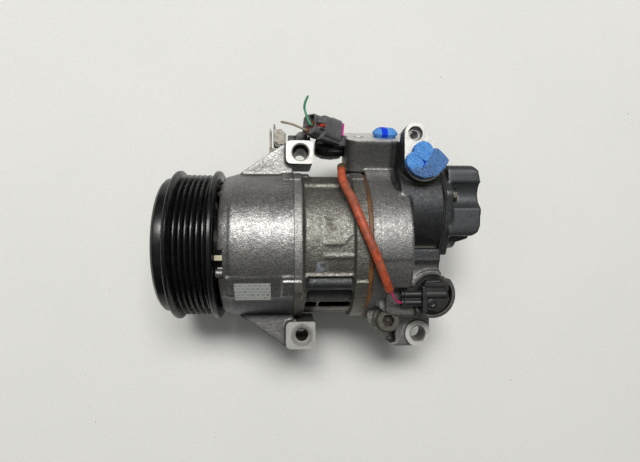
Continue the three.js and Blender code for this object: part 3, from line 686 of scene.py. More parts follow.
def add_hub():
    rubber = rounded([(-85.7, 33.2), (-85.7, 43.2), (-77.6, 43.2), (-77.6, 33.2)], 1.0)
    body = lathe(rubber)
    dimples = [turned(cylinder("x", 1.7, (0, 38.2), -90, -84.2, 20), 30 * k) for k in range(12)]
    piece("hub_damper", cut(body, *dimples), RUBBER, ["damper_rubber"], body="rotor")
    disc = rounded([(-77.8, 8.3), (-83, 8.3), (-83, 16), (-86, 18.5), (-86, 32.9), (-81.5, 32.9), (-80, 14),
                    (-77.8, 14)], 0.7)
    holes = [cylinder("x", 3.6, polar(25, 120 * k), -90, -76, 32) for k in range(3)]
    dents = [cylinder("x", 4.6, polar(25, 120 * k), -90, -85.2, 32, 4.0) for k in range(3)]
    slots = [turned(prism("x", rectangle(-5.5, 5.5, 22.5, 27.5, 2.4), -90, -84.6),
                    120 * k + 60) for k in range(3)]
    piece("hub_disc", cut(lathe(disc), *holes, *dents, *slots), PAINT, ["drive_hub"],
          body="rotor")
    nut = prism("x", arc(0, 0, 9, 0, 360, 6)[:-1], -88.4, -83.3)
    keep = join(cylinder("x", 8.0, (0, 0), -88.4, -87.3, 48, 9.1),
                cylinder("x", 9.1, (0, 0), -87.31, -83.2, 48))
    nut = combine(nut, [keep], "INTERSECT")
    piece("shaft_nut", cut(nut, cylinder("x", 6.0, (0, 0), -90, -82, 32)), STEEL, ["hub_nut"],
          body="rotor")
    thread = [(-88, 4.6)]
    for i in range(7):
        x = -87.6 + 0.8 * i
        thread += [(x, 5.1), (x + 0.4, 5.7)]
    shaft = lathe([(-88, 0.02), *thread, (-82.5, 5.2), (-82.5, 7.6), (-82.1, 8), (43.4, 8), (44, 7.4),
                   (44, 0.02)], 64)
    centre = cylinder("x", 1.7, (0, 0), -90, -86.2, 24, 0.4)
    piece("compressor_shaft", cut(shaft, centre), STEEL, ["drive_shaft"], body="rotor")


# ---- castings -------------------------------------------------------------------------------------
def lugs(angles, x0, x1, wide=8.6, high=52.1):
    """Two-step bosses on the castings' rims for the through bolts."""
    made = []
    for a in angles:
        for half, top in ((wide, high - 1.5), (wide - 2.6, high)):
            made.append(turned(prism("x", rectangle(-half, half, 30, top, 0.4), x0, x1), -a))
    return made


def bolt_holes(r, x0, x1):
    return [cylinder("x", r, polar(BOLT_CIRCLE, a), x0, x1, 24) for a in BOLT_ANGLES]


def add_front_housing():
    shell = lathe([(-77.4, 1), (-77.4, 20), (-50, 20.2), (-47.5, 26), (-47.5, 47.4), (-44.6, 48.4),
                   (-40.7, 49.2),
                   (-39.9, 49.9), (-20, 50.0), (-7.3, 50.2), (1.2, 50.4), (1.2, 1)])
    parts = lugs(BOLT_ANGLES, -7.6, 1.2)
    for side, inner, outer, x1, back in ((1, 55.2, 71.2, 13.0, 14), (-1, 52.7, 71.3, 14.7, 14)):
        def plan(points):
            return [(x, side * y) for x, y in points]
        web = [(-38, 40), (-37.2, 49), (-6, outer - 0.4), (1, outer - 0.4), (1, 54), (-0.3, 54), (-0.3, 40)]
        ear = rounded([(-5.3, outer), (-5.3, inner), (x1, inner), (x1, outer)], [4, 4, 1.4, 1.4])
        parts.append(prism("z", plan(web), -6, back))
        parts.append(prism("z", plan(ear), -16, 21.5))
    for y, z in ((32.5, 30.5), (37.6, 24)):
        parts.append(prism("x", rectangle(y - 1.6, y + 1.6, z - 4, z + 2.6, 0.8), -49.3, -44.5))
    parts += [turned(prism("x", rectangle(-0.5, 0.5, 40, 50.35), -43, -9), a) for a in (24.5, 42.0)]
    housing = cast(join(shell, *parts), 0.8, 2)
    chamber = lathe([(-41, 0.5), (-41, 39.3), (-4.3, 39.3), (-4.3, 41.5), (0, 41.5), (3, 41.5), (3, 0.5)])
    cut(housing, block(-0.15, 4.9, -49, 49, -60, 60), block(-0.15, 1.6, -53, -40, -60, 60),
        block(-0.15, 1.6, 40, 54, -60, 60), finish=MACHINED)
    cut(housing, block(-12, 22, 50, 76, 20, 30), finish=MACHINED)
    cut(housing, block(-12, 22, -76, -50, 20, 30), finish=WORN)
    cut(housing, chamber, cylinder("x", 12.3, (0, 0), -80, -38, 64), *bolt_holes(3.2, -14, 2),
        *bolt_holes(4.3, -20, -6.5), lathe([(-76.8, 18.8), (-76.8, 24), (-75.6, 24), (-75.6, 18.8)]),
        finish=BORE)
    for r, seat in ((7.6, 19.6), (6.0, 18.6)):
        cut(housing, cylinder("z", r, LOWER_EAR, seat, 21, 64), finish=BORE)
    # Near-black finish in the upper ear's counterbore and in both ears' deep holes: painted shade.
    cut(housing, cylinder("z", 5.6, UPPER_EAR, 11, 21, 64), finish=RECESS_SHADE)
    deep = [cylinder("z", 4.3, ear, -30, 30, 64) for ear in (UPPER_EAR, LOWER_EAR)]
    cut(housing, *deep, finish=RECESS_SHADE)
    rims = [cylinder("z", 5.4, UPPER_EAR, 18.8, 20.1, 64, 6.5),
            cylinder("z", 4.3, LOWER_EAR, 17.5, 18.7, 64, 5.2)]
    cut(housing, *rims, finish=MACHINED)
    # The notch at the front edge, round the through-bolt head, gets black faces: painted shade in the
    # recess.
    cut(housing, block(-50, -44.2, -21, -3, 36, 56), finish=PLASTIC)
    piece("front_casting", housing, CAST, ["front_housing"])
    tab = cast(prism("x", rectangle(-10, -6.6, 40.5, 46.2, 0.4), -49.4, -44.4), 0.35, 2)
    piece("front_cream_tab", tab, CREAM)
    lump = cast(join(cylinder("x", 3.0, (-18, 41.2), -49.2, -44.4, 24),
                     block(-48, -44.4, -19.6, -14.2, 38, 42.4)),
                0.4, 5)
    piece("front_edge_lump", lump, CAST)


def add_cylinder_block():
    body = lathe([(-1, 1), (-1, 50.8), (5, 50.8), (5.8, 50.2), (6.4, 47.6), (38.2, 47.6), (38.5, 51.8),
                  (48, 51.8),
                  (48, 1)])
    parts = lugs(BOLT_ANGLES, -1, 5.2) + lugs(BOLT_ANGLES, 38.9, 48, 8.6, 52.8)
    parts += [turned(prism("x", rectangle(-8.5, 8.5, 30, 49.4, 3.4), 2, 44), -a) for a in BOLT_ANGLES]
    parts += [block(38.5, 47.5, side * 18 - 4, side * 18 + 4, FLOOR + 0.4, -44) for side in (-1, 1)]
    parts.append(turned(prism("x", rectangle(-3.2, 3.2, 30, 51.0, 1.2), 3, 10.5), -71))
    raw = join(body, *parts)
    channel = cylinder("x", 18.8, (-38.6, 47.6), 8.6, 37.6, 64)
    slots = [block(7.5, 14.8, -42.4, -38.2, -4, 60), block(16.3, 38, -42.4, -38.2, -4, 60)]
    raw = cut(raw, channel, *slots)
    raw = join(raw, cylinder("x", 4.8, polar(BOLT_CIRCLE, BOLT_ANGLES[0]), 8, 38.4))
    bars = [rod([(16.5, 0.5, 45.6), (20, 0.5, 46.9), (24, 0.4, 47.1), (29, 0.4, 46.9), (32.5, 0.4, 45.6)],
                1.4, 16, 4),
            rod([(15.5, -7.4, 44.2), (20, -7.4, 45.6), (28, -7.4, 45.9), (39, -7.4, 45.9)], 2.0, 16, 4),
            rod([(30.6, -2.6, 44.9), (32, 1.6, 46.3), (34.6, 5.4, 46.2), (38.6, 7.2, 45.8)], 1.8, 16, 4)]
    for bar in bars:
        raw = join(raw, bar)
    casting = cast(raw, 0.8, 3)
    cut(casting, block(-6, 0.15, -60, 60, -60, 60), block(46.5, 52, -60, 60, -60, 60), finish=MACHINED)
    spigot = lathe([(-4, 38.9), (-4, 41.2), (-3.4, 41.2), (-3.4, 39.6), (-1.2, 39.6), (-1.2, 41.2),
                    (0.6, 41.2),
                    (0.6, 38.9)])
    join(casting, spigot)
    bores = [cylinder("x", 12.2, polar(CYLINDER_CIRCLE, a), -10, 60, 64) for a in CYLINDERS]
    cut(casting, *bores, cylinder("x", 12.3, (0, 0), -5, 60, 64), *bolt_holes(3.2, -2, 60),
        cylinder("x", 38.9, (0, 0), -10, 2, ROUND), finish=BORE)
    piece("block_casting", casting, DIRTY, ["cylinder_block"])


def square_to_face(r, x, s, a, b, sides=48, top_r=None):
    """A round tool square to the side port's face, from depth a to height b."""
    tool = cylinder("y", r, (0, 0), a, b, sides, top_r)
    y = SIDE_FACE[0] + s * math.sin(SIDE_TILT)
    z = SIDE_FACE[1] - s * math.cos(SIDE_TILT)
    return moved(tool, Matrix.Translation((x, y, z)) @ Matrix.Rotation(SIDE_TILT, 4, "X"))


def port_outline():
    return hull(arc(79.2, 72.3, 7.1, 0, 360, 48) + arc(84.8, 53.6, 12.8, 0, 360, 64))


def grown(outline, d):
    """The outline, run anticlockwise, with every point moved outwards by d."""
    n = len(outline)
    points = []
    for i, p in enumerate(outline):
        a, b = outline[i - 1], outline[(i + 1) % n]
        out = Vector((b[1] - a[1], a[0] - b[0])).normalized()
        points.append((p[0] + out.x * d, p[1] + out.y * d))
    return points


def add_rear_housing():
    shell = lathe([(48.4, 1), (48.4, 49.5), (75, 49.5), (76, 48.6), (76, 1)])
    neck = cylinder("x", 34.5, (25, 5), 70, 99.5, ROUND)
    neck = combine(neck, [prism("x", rectangle(-9.5, 53, -40, 50, 2.5), 69, 100)], "INTERSECT")
    side_block = prism("x", [(40, 22), (71, 25.6), (84.4, -6.6), (56, -14), (40, -14)], 36.5, 76)
    to_face = Matrix.Translation((0, *SIDE_FACE)) @ Matrix.Rotation(SIDE_TILT, 4, "X")
    keep = moved(prism("y", rectangle(36.5, 95, -34, 2, 8), -70, 5), to_face)
    side_block = combine(side_block, [keep], "INTERSECT")
    fillet = prism("x", [(30, 30), (34.5, 35.4), (38, 31.2), (40.5, 27), (43.5, 24.2), (46.5, 22),
                         (51, 19.5), (60, 8),
                         (30, 8)], 49, 76)
    outline = port_outline()
    port = loft([[(x, y, z) for x, y in grown(outline, d)]
                 for z, d in ((-6, 3.6), (6, 3.4), (18, 2.2), (30, 0.8), (36, 0.1), (41.5, 0))])
    gusset = rod([(66.4, 36.0, 33.3), (70.5, 33.2, 36.2), (74.6, 30.5, 38.5)], 1.1, 16, 4)
    valve = cylinder("z", 15.9, CONTROL_VALVE, -24, 33.8, 96)
    valve_web = prism("z", rounded([(70, -44), (88, -44), (104, -34), (105.5, -25.4), (98.2, -11),
                                    (97, -8), (70, -2)],
                                   [2, 2, 0, 2, 1, 1, 2]), -18, 22)
    saddle = prism("x", rounded([(-3, 18), (-3, 34.6), (-10.4, 34.8), (-13.6, 32.6), (-18, 32.4),
                                 (-27, 33.8),
                                (-27, 18)], [0, 1, 1.6, 3, 2, 0, 0]), 74, 97)
    shelf = prism("z", rounded([(64, -48), (82, -49), (84, -24), (72, -16), (56, -26), (56, -42)], 3), -6,
                  33.2)
    relief = cylinder("z", 8.6, RELIEF_VALVE, -12, 23.2, 64)
    relief_back = cylinder("z", 10.5, (60.5, -48.5), -12, 20.4, 64)
    ear = prism("z", rounded([(60, -46), (66, -62), (66.8, -70.6), (73.1, -72.7), (88, -72.3),
                              (96.8, -63.5),
                              (96.8, -40), (70, -40)], [3, 2, 2, 2, 3, 3, 3, 3]), -4, 10.6)
    ear_boss = cylinder("z", 8.9, REAR_EAR, -4, 13.2, 64)
    ear_neck = prism("z", rounded([(80, -64), (84, -70), (96.5, -64), (96.8, -36), (78, -36)], 2), -4, 11)
    raised = lathe([(54.8, 40), (54.8, 50.1), (75.3, 50.1), (75.3, 40)])
    raised = combine(raised, [prism("x", [(-9.8, 20), (-9.8, 60), (40, 60), (40, 20)], 50, 80)],
                     "INTERSECT")
    raw = join(shell, neck, side_block, fillet, port, gusset, valve, valve_web, saddle, shelf, relief,
               relief_back,
               ear, ear_boss, ear_neck, raised)
    crease = rod([(50, 66, 26.6), (56, 64.2, 26.2), (63, 65.4, 26.6)], 1.5, 16, 4)
    raw = cut(raw, block(60, 80.5, -49.4, -28.2, 31.0, 60), lathe([(30, 48), (30, 52.8), (49.4, 52.8),
                                                                   (49.4, 48)]),
              prism("z", rectangle(67.2, 72.2, -69.8, -60, 1), 2, 30), crease)
    casting = cast(raw, 0.8, 3)
    ring = lathe([(40, 1), (40, 52.6), (49.65, 52.6), (49.65, 1)])
    cut(casting, ring, block(97.7, 104, -30, 60, -40, 60), finish=MACHINED)
    faces = [block(66, 102, 36, 84, 40, 50), moved(block(30, 80, 0, 12, -36, 6), to_face),
             block(74, 104, -74, -54, 12, 20)]
    cut(casting, *faces, finish=MACHINED)
    cut(casting, cylinder("z", 9.6, RELIEF_VALVE, 22, 30, 64))
    chamber = combine(cylinder("x", 29.5, (25, 5), 81, 99, 96),
                      [prism("x", rectangle(-4.5, 48, -40, 50, 3), 80, 100)], "INTERSECT")
    head = lathe([(49, 28), (49, 39.5), (71, 39.5), (71, 28)])
    inner = cylinder("x", 25, (0, 0), 49, 71, ROUND)
    cut(casting, chamber, head, inner, lathe([(49, 20), (49, 30), (52, 30), (52, 20)]),
        *bolt_holes(3.2, 40, 68.5), *[cylinder("x", 2.3, p, 88, 99, 24) for p in LID_BOLTS],
        cylinder("z", 8, TOP_PORT, 22, 60, 64), cylinder("z", 4.9, TOP_BOLT, 37.5, 60, 48),
        cylinder("z", 4.0, TOP_BOLT, 36.3, 37.6, 48, 4.9),
        cylinder("z", 2.8, TOP_BOLT, 18, 60, 32), square_to_face(8, SIDE_BORE, 15, -16, 5),
        square_to_face(2.8, SIDE_BOLT, 15, -12, 5, 24), square_to_face(4, SIDE_BOLT, 15, -1.5, 5, 32),
        cylinder("z", 5, RELIEF_VALVE, -6, 60, 32), finish=BORE)
    cut(casting, square_to_face(4, SIDE_BOLT, 15, -0.9, 5, 48, 6.2), finish=MACHINED)
    cut(casting, cylinder("z", 5.1, REAR_EAR, -30, 60, 64), cylinder("z", 5.1, REAR_EAR, 11.3, 12.1, 64,
                                                                     5.9),
        finish=BORE)
    # Near-black finish in the control valve's recess: painted shade.
    cut(casting, cylinder("z", 13.4, CONTROL_VALVE, 26.2, 60, 96),
        cylinder("z", 10, CONTROL_VALVE, -19, 60, 48),
        finish=RECESS_SHADE)
    piece("rear_casting", casting, REAR, ["rear_housing"])


def rear_material():
    """The rear housing's aluminium, with a dark satin coat on the neck, and painted shade on the top port's
    outer wall, over the control valve's boss and on the shelf under the valve connector.
    """
    s = Surface("rear_aluminium", metallic=0.8)
    fine, medium, broad = s.noise(1500, 2), s.noise(420, 4, 0.65), s.noise(45, 4, 0.6)
    base = s.mix(s.ranged(fine, 0.36, 0.66), CAST_DARK, CAST_LIGHT)
    base = s.mix(s.ranged(broad, 0.35, 0.7, 0.0, 0.45), base, CAST_DARK)
    # Lighter convex edges: wear, and painted edge highlights.
    worn = s.times(s.edges(), s.ranged(medium, 0.35, 0.6))
    base = s.mix(s.times(worn, 0.7), base, (0.62, 0.61, 0.58))
    base = s.mix(s.times(s.axis(1, in_row(0, 50, 0).y, in_row(0, 56, 0).y), 0.6), base,
                 (0.075, 0.075, 0.07))
    specks = s.times(s.ranged(s.cells(700), 0.3, 0.12), s.patch(40, 66, 48, 55, 2))
    base = s.mix(s.times(specks, 0.8), base, (0.4, 0.39, 0.36))
    # Painted shade on the shelf under the valve connector's tubes.
    base = s.mix(s.times(s.patch(60, 84, -50, -31, 1.5), 0.55), base, (0.05, 0.047, 0.04))
    dark = s.mix(s.ranged(fine, 0.36, 0.66), (0.033, 0.035, 0.038), (0.06, 0.063, 0.068))
    port_wall_shade = s.times(s.beyond(67.5, 35.6, 0.667, 0.8), s.patch(66.5, 140, 26, 90, 0.8))
    # The dark satin coat on the neck, painted shade over the control valve's boss, and painted shade on the
    # top port's outer wall.
    for patch in (s.patch(75.6, 140, -9.5, 90, 0.6), s.times(s.patch(79, 140, -50, -9.5, 2.0), 0.6), port_wall_shade):
        base = s.mix(patch, base, dark)
    # Grime: noise stains, plus ambient-occlusion darkening that is painted shade in the corners.
    stain = s.times(s.ranged(s.noise(90, 5, 0.7), 0.5, 0.68), 0.4)
    grime_and_crevice_shade = s.times(s.times(stain, s.times(s.crevice_shade(), 0.9), "ADD"), s.ranged(medium, 0.25, 0.5))
    s.colour(s.mix(grime_and_crevice_shade, base, (0.045, 0.04, 0.03)))
    s.metallic(s.ranged(grime_and_crevice_shade, 0.0, 1.0, 0.8, 0.3))
    s.roughness(medium, 0.36, 0.58)
    s.bump(medium, 0.22)
    s.bump(fine, 0.12)
    return s.material


REAR = rear_material()


def lid_outline():
    body = [(25 + 34.5 * math.cos(a), 5 + 34.5 * math.sin(a))
            for a in (math.radians(35 + 130 * i / 24) for i in range(25))]
    body = [p for p in body if -7.6 < p[0] < 53.1]
    body += [(-7.5, 26), (-7.5, -20), (0, -29), (48, -29), (53, -20)]
    for y, z in LID_BOLTS:
        body += arc(y, z, 5.0 if y < 10 else 6.0, 0, 360, 24)
    return hull(body)


def add_lid():
    flange = prism("x", lid_outline(), 98.9, 104)
    plan = [(102, 53), (119, 53), (122.5, 49), (124, 41.5), (123.5, 37), (123.3, 32.5), (123.6, 28),
            (124.2, 24),
            (123.4, 12), (121.6, 7.4), (118, 5.4), (102, 5.4)]
    top = combine(prism("z", plan, -30, 60), [prism("x", rectangle(4, 53, -22, 37.4, 6), 100, 126)],
                  "INTERSECT")
    lobe = cylinder("x", 11, (8, 4), 103, 116, 48)
    under = prism("z", rounded([(102, 14), (102, 1.4), (112, 1.4), (120.4, 4), (121, 14)],
                               [0, 1, 4, 3, 0]), -8, 25)
    raw = join(flange, top, lobe, under)
    valley = cylinder("x", 12, (32.5, 45.5), 104.2, 127, 64)
    seats = [cylinder("x", 4.6, p, 104, 108.6, 32) for p in LID_BOLTS]
    raw = cut(raw, valley, *seats)
    lid = cast(raw, 0.7, 4)
    hollow = prism("x", rectangle(10, 48, -17, 27, 4), 95, 119.5)
    cut(lid, block(96, 98.9, -40, 80, -50, 60), hollow, *[cylinder("x", 2.7, p, 90, 105,
                                                                   24) for p in LID_BOLTS],
        finish=BORE)
    piece("rear_lid", lid, DARK, ["muffler_lid"])
    for i, p in enumerate(LID_BOLTS):
        head = cylinder("x", 3.6, p, 104.2, 107.6, 6)
        trim = join(cylinder("x", 3.7, p, 104.1, 107.0, 32), cylinder("x", 3.7, p, 106.99, 107.6, 32, 2.9))
        head = combine(head, [trim], "INTERSECT")
        washer = cylinder("x", 4.1, p, 104.2, 104.9, 32)
        bolt = join(head, washer, cylinder("x", 2, p, 90, 105, 24))
        dish = cylinder("x", 2.0, p, 107.2, 109, 32)
        piece(f"lid_hex_bolt_{i + 1}", cut(bolt, dish), DULL, [f"lid_bolt_{i + 1}"])


def add_bands():
    band = lathe(rounded([(46.6, 39.5), (46.6, 51.0), (47.2, 51.4), (49.2, 51.4), (49.55, 51.0),
                          (49.55, 39.5)], 0.25))
    cut(band, *bolt_holes(3.2, 40, 60))
    piece("head_gasket_band", band, AMBER, ["head_gasket"], sharp=60)


# ---- valves, plugs and leads ----------------------------------------------------------------------
def add_valves():
    x, y = CONTROL_VALVE
    upright = Matrix.Translation((x, y, 0)) @ Matrix.Rotation(math.radians(-90), 4, "Y")
    body = lathe(rounded([(-18.5, 2.4), (-18.5, 9.2), (26, 9.6), (26.5, 12.9), (28.6, 12.9), (28.9, 12.4),
                          (28.9, 0.6), (14, 0.6), (14, 2.4)], 0.3), 64)
    piece("control_valve_body", moved(body, upright), BORE, ["control_valve"])
    top = lathe(rounded([(28.9, 0.6), (28.9, 12.6), (29.5, 12.6), (29.8, 12.0), (29.8, 0.6)], 0.2), 64)
    piece("control_valve_cap", moved(top, upright), PLASTIC)
    ring = lathe(rounded([(29.9, 11.3), (29.9, 13.2), (30.9, 13.2), (30.9, 11.3)], 0.3), 64)
    ring = cut(moved(ring, upright), block(x + 9, x + 15, y - 2.5, y + 2.5, 29, 32))
    # The circlip takes the near-black recess finish: painted shade.
    piece("valve_circlip", ring, RECESS_SHADE, ["valve_snap_ring"])

    collar = prism("z", rectangle(83, 86.4, -44.4, -27.6, 0.6), 33.3, 41.2)
    head = prism("z", rounded([(85.4, -42.8), (92, -43.4), (97.6, -41.0), (101.0, -35), (100.0, -28),
                               (95, -23.4),
                               (85.4, -23.6)], 2.4), 33.3, 39.2)
    hump = prism("z", rounded([(86, -32.6), (99.6, -32.2), (97.6, -26.6), (93, -25), (86, -25.4)], 1.2),
                 38, 41.2)
    rib = prism("z", rectangle(84, 97.4, -27.4, -25.2, 0.6), 38, 42.0)
    bar = prism("z", rectangle(86, 99.6, -34.4, -31.8, 0.8), 38, 41.6)
    neck = cylinder("z", 8, (x, y), 29.9, 34, 48)
    tubes = []
    for v in (-32.9, -38.2):
        tubes.append(cylinder("x", 2.5, (v, 36.3), 69.8, 84, 40))
        tubes.append(cylinder("x", 2.8, (v, 36.3), 69.8, 71.2, 40))
    connector = join(collar, head, hump, rib, bar, neck, *tubes,
                     block(71, 84, -40, -31, 34.0, 35.6), cylinder("z", 2.5, (89.8, -38.8), 38, 40.2, 32))
    connector = cut(connector, *[cylinder("x", 1.7, (v, 36.3), 68, 78, 24) for v in (-32.9, -38.2)],
                    cylinder("z", 1.6, (89.8, -38.8), 39.7, 42, 32))
    piece("valve_plug", cast(connector, 0.35, 2), PLASTIC, ["valve_connector"])

    hexagon = cylinder("z", 8.2, RELIEF_VALVE, 22.3, 30, 6)
    chamfer = join(cylinder("z", 8.3, RELIEF_VALVE, 22.2, 28.8, 48),
                   cylinder("z", 8.3, RELIEF_VALVE, 28.79, 30, 48, 6.9))
    hexagon = combine(hexagon, [chamfer], "INTERSECT")
    skirt = cylinder("z", 9.0, RELIEF_VALVE, 22.3, 23.8, 48)
    barrel = cylinder("z", 4.7, RELIEF_VALVE, -4, 23, 48)
    valve = join(hexagon, skirt, barrel)
    # Near-black finish in the relief valve's socket and bore: painted shade.
    cut(valve, cylinder("z", 4.4, RELIEF_VALVE, 25.5, 40, 6),
        cylinder("z", 2.9, RELIEF_VALVE, -10, 11, 32), finish=RECESS_SHADE)
    dimple = join(valve, cylinder("z", 1.3, RELIEF_VALVE, 25, 27.6, 32, 0.9))
    piece("relief_valve_body", dimple, DULL, ["relief_valve"])


def add_foam():
    stem = square_to_face(7.5, SIDE_BORE, 15, -12, 1.4, 64)
    low = square_to_face(7.6, SIDE_BORE, 15, 0.5, 3.0, 64, 9.3)
    high = square_to_face(9.3, SIDE_BORE, 15, 2.99, 6.2, 64, 6.2)
    side = cast(join(stem, low, high), 0.5, 3)
    piece("side_port_foam", side, BLUE, ["side_port_plug"])
    stripe = join(square_to_face(7.8, SIDE_BORE, 15, 0.7, 3.0, 64, 9.5),
                  square_to_face(9.5, SIDE_BORE, 15, 2.99, 6.4, 64, 6.2))
    centre = SIDE_BORE - 1.6
    stripe = combine(stripe, [block(centre - 2.0, centre + 2.0, 60, 100, 8, 40)], "INTERSECT")
    grown_core = moved(cast(stripe, 0.35, 1), Matrix.Translation((0, 0, 0.3)))
    piece("side_port_foam_core", grown_core, DEEP)

    low, high = 42.2, 48.4
    slab = [(88.6, 61.4), (91.8, 61.0), (95.6, 57.4), (98.9, 53.6), (96.0, 48.4), (90.3, 43.3),
            (82.5, 41.8),
            (76.2, 44.2), (72.2, 48.4), (77, 47.6), (81.6, 48.4), (83.0, 51.0)]
    lobes = [
        ("top_port_foam_left", arc(77.3, 53.0, 6.2, 78, 268, 24) + [(81.2, 48.2), (82.6, 51.2),
                                                                    (80.6, 56.4)],
         high - 0.6, BLUE),
        ("top_port_foam_upper", arc(82.2, 59.4, 6.3, -32, 206, 28) + [(82.0, 53.2), (84.6, 52.4)], high,
         BLUE),
        ("top_port_foam_slab", rounded(slab, [1.2, 1.2, 1, 1.6, 3, 3, 3, 3, 1, 1, 1, 0.6]), high, SLATE),
    ]
    for name, outline, top, material in lobes:
        lobe = cast(prism("z", outline, low, top), 0.5, 3)
        piece(name, lobe, material)
    core = cast(join(prism("z", rounded([(80.4, 47.6), (83.6, 47.8), (85.6, 53.6), (82.0, 55.0)], 0.8),
                           low, 47.2),
                     cylinder("z", 7.5, TOP_PORT, 26, 43, 48)), 0.5, 2)
    piece("top_port_foam_core", core, DEEP, ["top_port_plug"])


def add_leads():
    route = [(36.8, 55.8, 12.6), (34.8, 55.6, 14.2), (33.0, 54.4, 17.4), (32.2, 50.3, 25.2),
             (31.5, 43, 35.5),
             (33.4, 35.2, 43.5), (36.2, 28.5, 48.2), (38.7, 20.7, 52), (41.7, 12.7, 54.4),
             (44.9, 4.9, 55.6),
             (48.3, -3, 55.5), (54.2, -16.6, 52.9), (59.8, -28.8, 46.9)]

    def radius(t):
        return 1.7 + 1.1 * min(1.0, max(0.0, t - 0.165) / 0.03)

    sleeve = rod(route, radius, 24, 8)
    cut(sleeve, rod([route[-1], (60.3, -30.0, 46.1)], 2.2, 24, 2))
    piece("red_lead_sleeve", sleeve, SLEEVE, ["lead_sleeve"])
    wire = [(58.8, -26.2, 48.2), (61.2, -30.2, 46.0), (64.0, -34.4, 42.0), (66.8, -37.2, 38.4),
            (69.6, -38.2, 36.6)]
    piece("lead_wire_run", rod(wire, 0.9, 12, 6), MAGENTA, ["lead_wire"])


# ---- harness connector ----------------------------------------------------------------------------
def at_connector(u, v, w):
    return tuple(CONNECTOR @ Vector((u, v, w)))


def add_harness():
    shell = prism("x", rectangle(-7.4, 7.4, -8.2, 8.2, 3.6), -7.6, 8)
    rear = prism("x", rectangle(-7.2, 6.4, -6.2, 6.4, 3.4), -16, -7)
    ribs = [prism("x", rectangle(-7.8, 7.8, -8.6, 8.6, 3.6), u, u + 0.7) for u in (-0.6, 1.3, 3.2, 5.1,
                                                                                   7.0)]
    arm = prism("x", rounded([(-9.6, 1.6), (-6.6, 2.2), (-6.6, 6.4), (-9.2, 6.4)], 0.8), -9, 12)
    arm_end = prism("x", rectangle(-10.2, -2.4, 0.2, 8.8, 0.8), 9.6, 15.0)
    guard = prism("x", rectangle(-3.4, 2.4, 4, 8.4, 1.4), -12, -7)
    body = join(shell, rear, *ribs, arm, arm_end, guard)
    hollow = [cylinder("x", 2.75, p, -20, -7, 40) for p in WIRES]
    hollow += [prism("x", rectangle(1.4, 5.6, -0.8, 4.4, 1.6), -17, -10),
               block(-5, 12, -5.3, 5.3, -5.8, 5.8),
               block(-14.7, -8.0, -2.1, 0.6, 5.6, 12)]
    for tool in hollow:
        body = cut(body, tool)
    body = moved(cast(body, 0.35, 2), CONNECTOR)
    piece("harness_plug_shell", body, GREY, ["harness_connector"], body="harness_plug")
    stripe = prism("x", rectangle(-8.1, 8.1, -8.8, 8.8, 3.6), 8.1, 9.5)
    stripe = cut(stripe, prism("x", rectangle(-9, -3.4, -12, 12, 1), 7, 12), block(7, 12, 5.6, 12, -12, 12))
    piece("harness_plug_seal", moved(cast(stripe, 0.3, 1), CONNECTOR), PINK,
          body="harness_plug")
    lock = join(block(-11.3, -8.4, -1.9, 0.4, 5.8, 8.2), block(-11, -8.7, -1.6, 0.1, 8.1, 9.2))
    piece("red_lock_slider", moved(cast(lock, 0.25, 2), CONNECTOR), RED, ["connector_lock"],
          body="lock_tab")
    for i, p in enumerate(WIRES):
        seal = lathe([(-15.8, 0.95), (-15.8, 2.3), (-15.2, 2.5), (-14.2, 2.2), (-13.2, 2.5), (-12.2, 2.2),
                      (-11.2, 2.5), (-7.3, 2.45), (-7.3, 0.95)], 40, p)
        piece(f"wire_seal_{i + 1}_boot", moved(seal, CONNECTOR), BROWN,
              [f"wire_seal_{i + 1}"], body="harness_plug")
    green, tan = ([at_connector(u, *p) for u in (-9, -15, -17.5)] for p in WIRES)
    green += [(7.5, 89.5, 27), (7.2, 93.6, 29), (9.1, 98.2, 30)]
    tan += [(-1.2, 80.9, 25.4), (-8.1, 82.3, 25.4)]
    piece("green_wire_end", rod(green, 0.8, 12, 6), GREEN, ["wire_stub_green"],
          body="harness_plug")
    piece("tan_wire_end", rod(tan, 0.8, 12, 6), TAN, ["wire_stub_tan"], body="harness_plug")
    tips = [("green", (9.1, 98.2, 30), (9.5, 99, 30.1)), ("tan", (-8.1, 82.3, 25.4), (-8.9, 82.5, 25.4))]
    for name, a, b in tips:
        piece(f"{name}_wire_strands", rod([a, b], 0.5, 8, 2), STEEL, body="harness_plug")

    male = join(prism("x", rectangle(-5, 5, -5.5, 5.5, 1.2), -4.6, 10),
                prism("x", rectangle(-5.6, 5, -10.8, 5.6, 1.5),
                                                                             8.3, 10.4))
    male = moved(male, CONNECTOR)
    lower = prism("z", rounded([(15.5, 66.5), (21, 64), (28, 63.4), (36, 64.5), (36, 73.5), (24, 78),
                                (15.5, 76)], 3),
                  -10, 3.0)
    hump = rod([(17.5, 70, 0.5), (23, 69, 2.2), (30, 68.6, 2.6), (35.5, 69.4, 2.0)], 5.2, 24, 6)
    strap = prism("z", rectangle(24, 35.8, 66.0, 68.2, 0.6), 2, 7.6)
    body = cast(join(male, lower, hump, strap), 0.4, 3)
    piece("pigtail_housing", body, PLASTIC, ["pigtail_connector"])


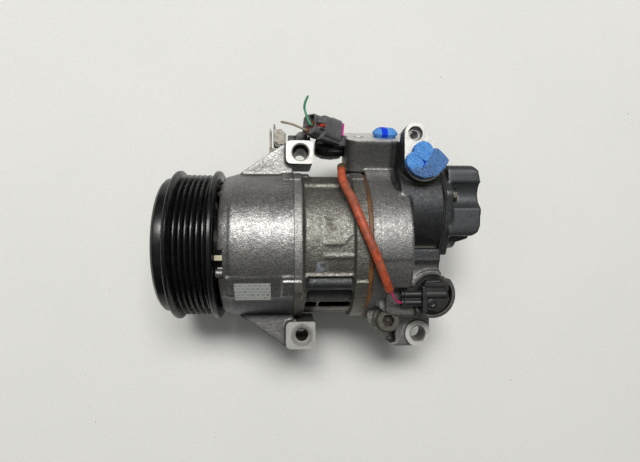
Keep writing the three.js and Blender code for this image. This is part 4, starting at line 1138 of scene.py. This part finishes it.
def add_brackets():
    folded = prism("z", [(-13.4, 71), (-5.8, 74), (-5.6, 82.2), (-9.4, 85.6), (-13.4, 84.6)], -8, -6.4)
    plates = join(block(-17.6, -16.4, 60, 86, -20, -7), block(-17.6, -5.8, 58.5, 71, -8, -6.4), folded,
                  block(-14.6, -13.4, 68, 89, -20, -6.4), rod([(-14, 75, -6.4), (-12, 72.4, -6.0),
                                                               (-8, 73, -6.2)], 1.0))
    plates = cut(plates, cylinder("x", 1.8, (82, -14), -16, -12, 32))
    piece("steel_bracket_plate", cast(plates, 0.35, 2), DULL, ["steel_bracket"])
    dome = moved(cylinder("y", 3.6, (0, 0), 0, 1.8, 40, 2.8), Matrix.Translation((5.4, 76.4, 8.0)))
    clip = join(prism("z", rectangle(-4, 10, 71.6, 76.6, 1), 2, 12), dome,
                cylinder("z", 4.3, (5.4, 74.6), 2, 13.4, 40),
                prism("z", rectangle(8, 12, 71.6, 77, 1), 0, 8))
    piece("ear_clip", cast(clip, 0.35, 3), PLASTIC, ["connector_clip"])
    plate = lathe([(-37.8, 50.0), (-37.8, 50.35), (-14.6, 50.35), (-14.6, 50.0)], 360)
    plate = combine(plate, [prism("z", rectangle(-37.6, -14.8, -35.6, -24.3, 0.8), 10, 60)], "INTERSECT")
    piece("rating_label_plate", plate, LABEL, ["rating_label"])


def add_shoes():
    """The half-ball shoes between each piston and the swash plate."""
    for i, a in enumerate(CYLINDERS):
        for side in (-1, 1):
            face = -10 + side * 2.6
            dome = rounded([(face, 0.05), (face, 4.6), (face + side * 0.8, 4.6), (face + side * 2.4, 2.8),
                            (face + side * 2.7, 0.05)], [0, 0.2, 0.4, 0.8, 0])
            shoe = lathe(dome, 32, polar(CYLINDER_CIRCLE, a))
            piece(f"piston_shoe_{i + 1}_{'front' if side < 0 else 'rear'}", shoe, STEEL)


# ---- CAD nodes kept as they are, with node materials ----------------------------------------------
def dress_nodes():
    """The CAD nodes that are kept as they are, nearly all inside the castings."""
    rubber = ("lid_gasket", "shaft_seal", "housing_oring")
    for name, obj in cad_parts.items():
        if name in rubber:
            material = RUBBER
        elif name.startswith("piston"):
            material = MACHINED
        else:
            material = STEEL
        for holder in obj.material_slots:
            holder.material = material


for add in (add_pulley, add_hub, add_front_housing, add_cylinder_block, add_rear_housing, add_lid,
            add_bands,
            add_valves, add_foam, add_leads, add_harness, add_brackets, add_shoes, dress_nodes):
    add()
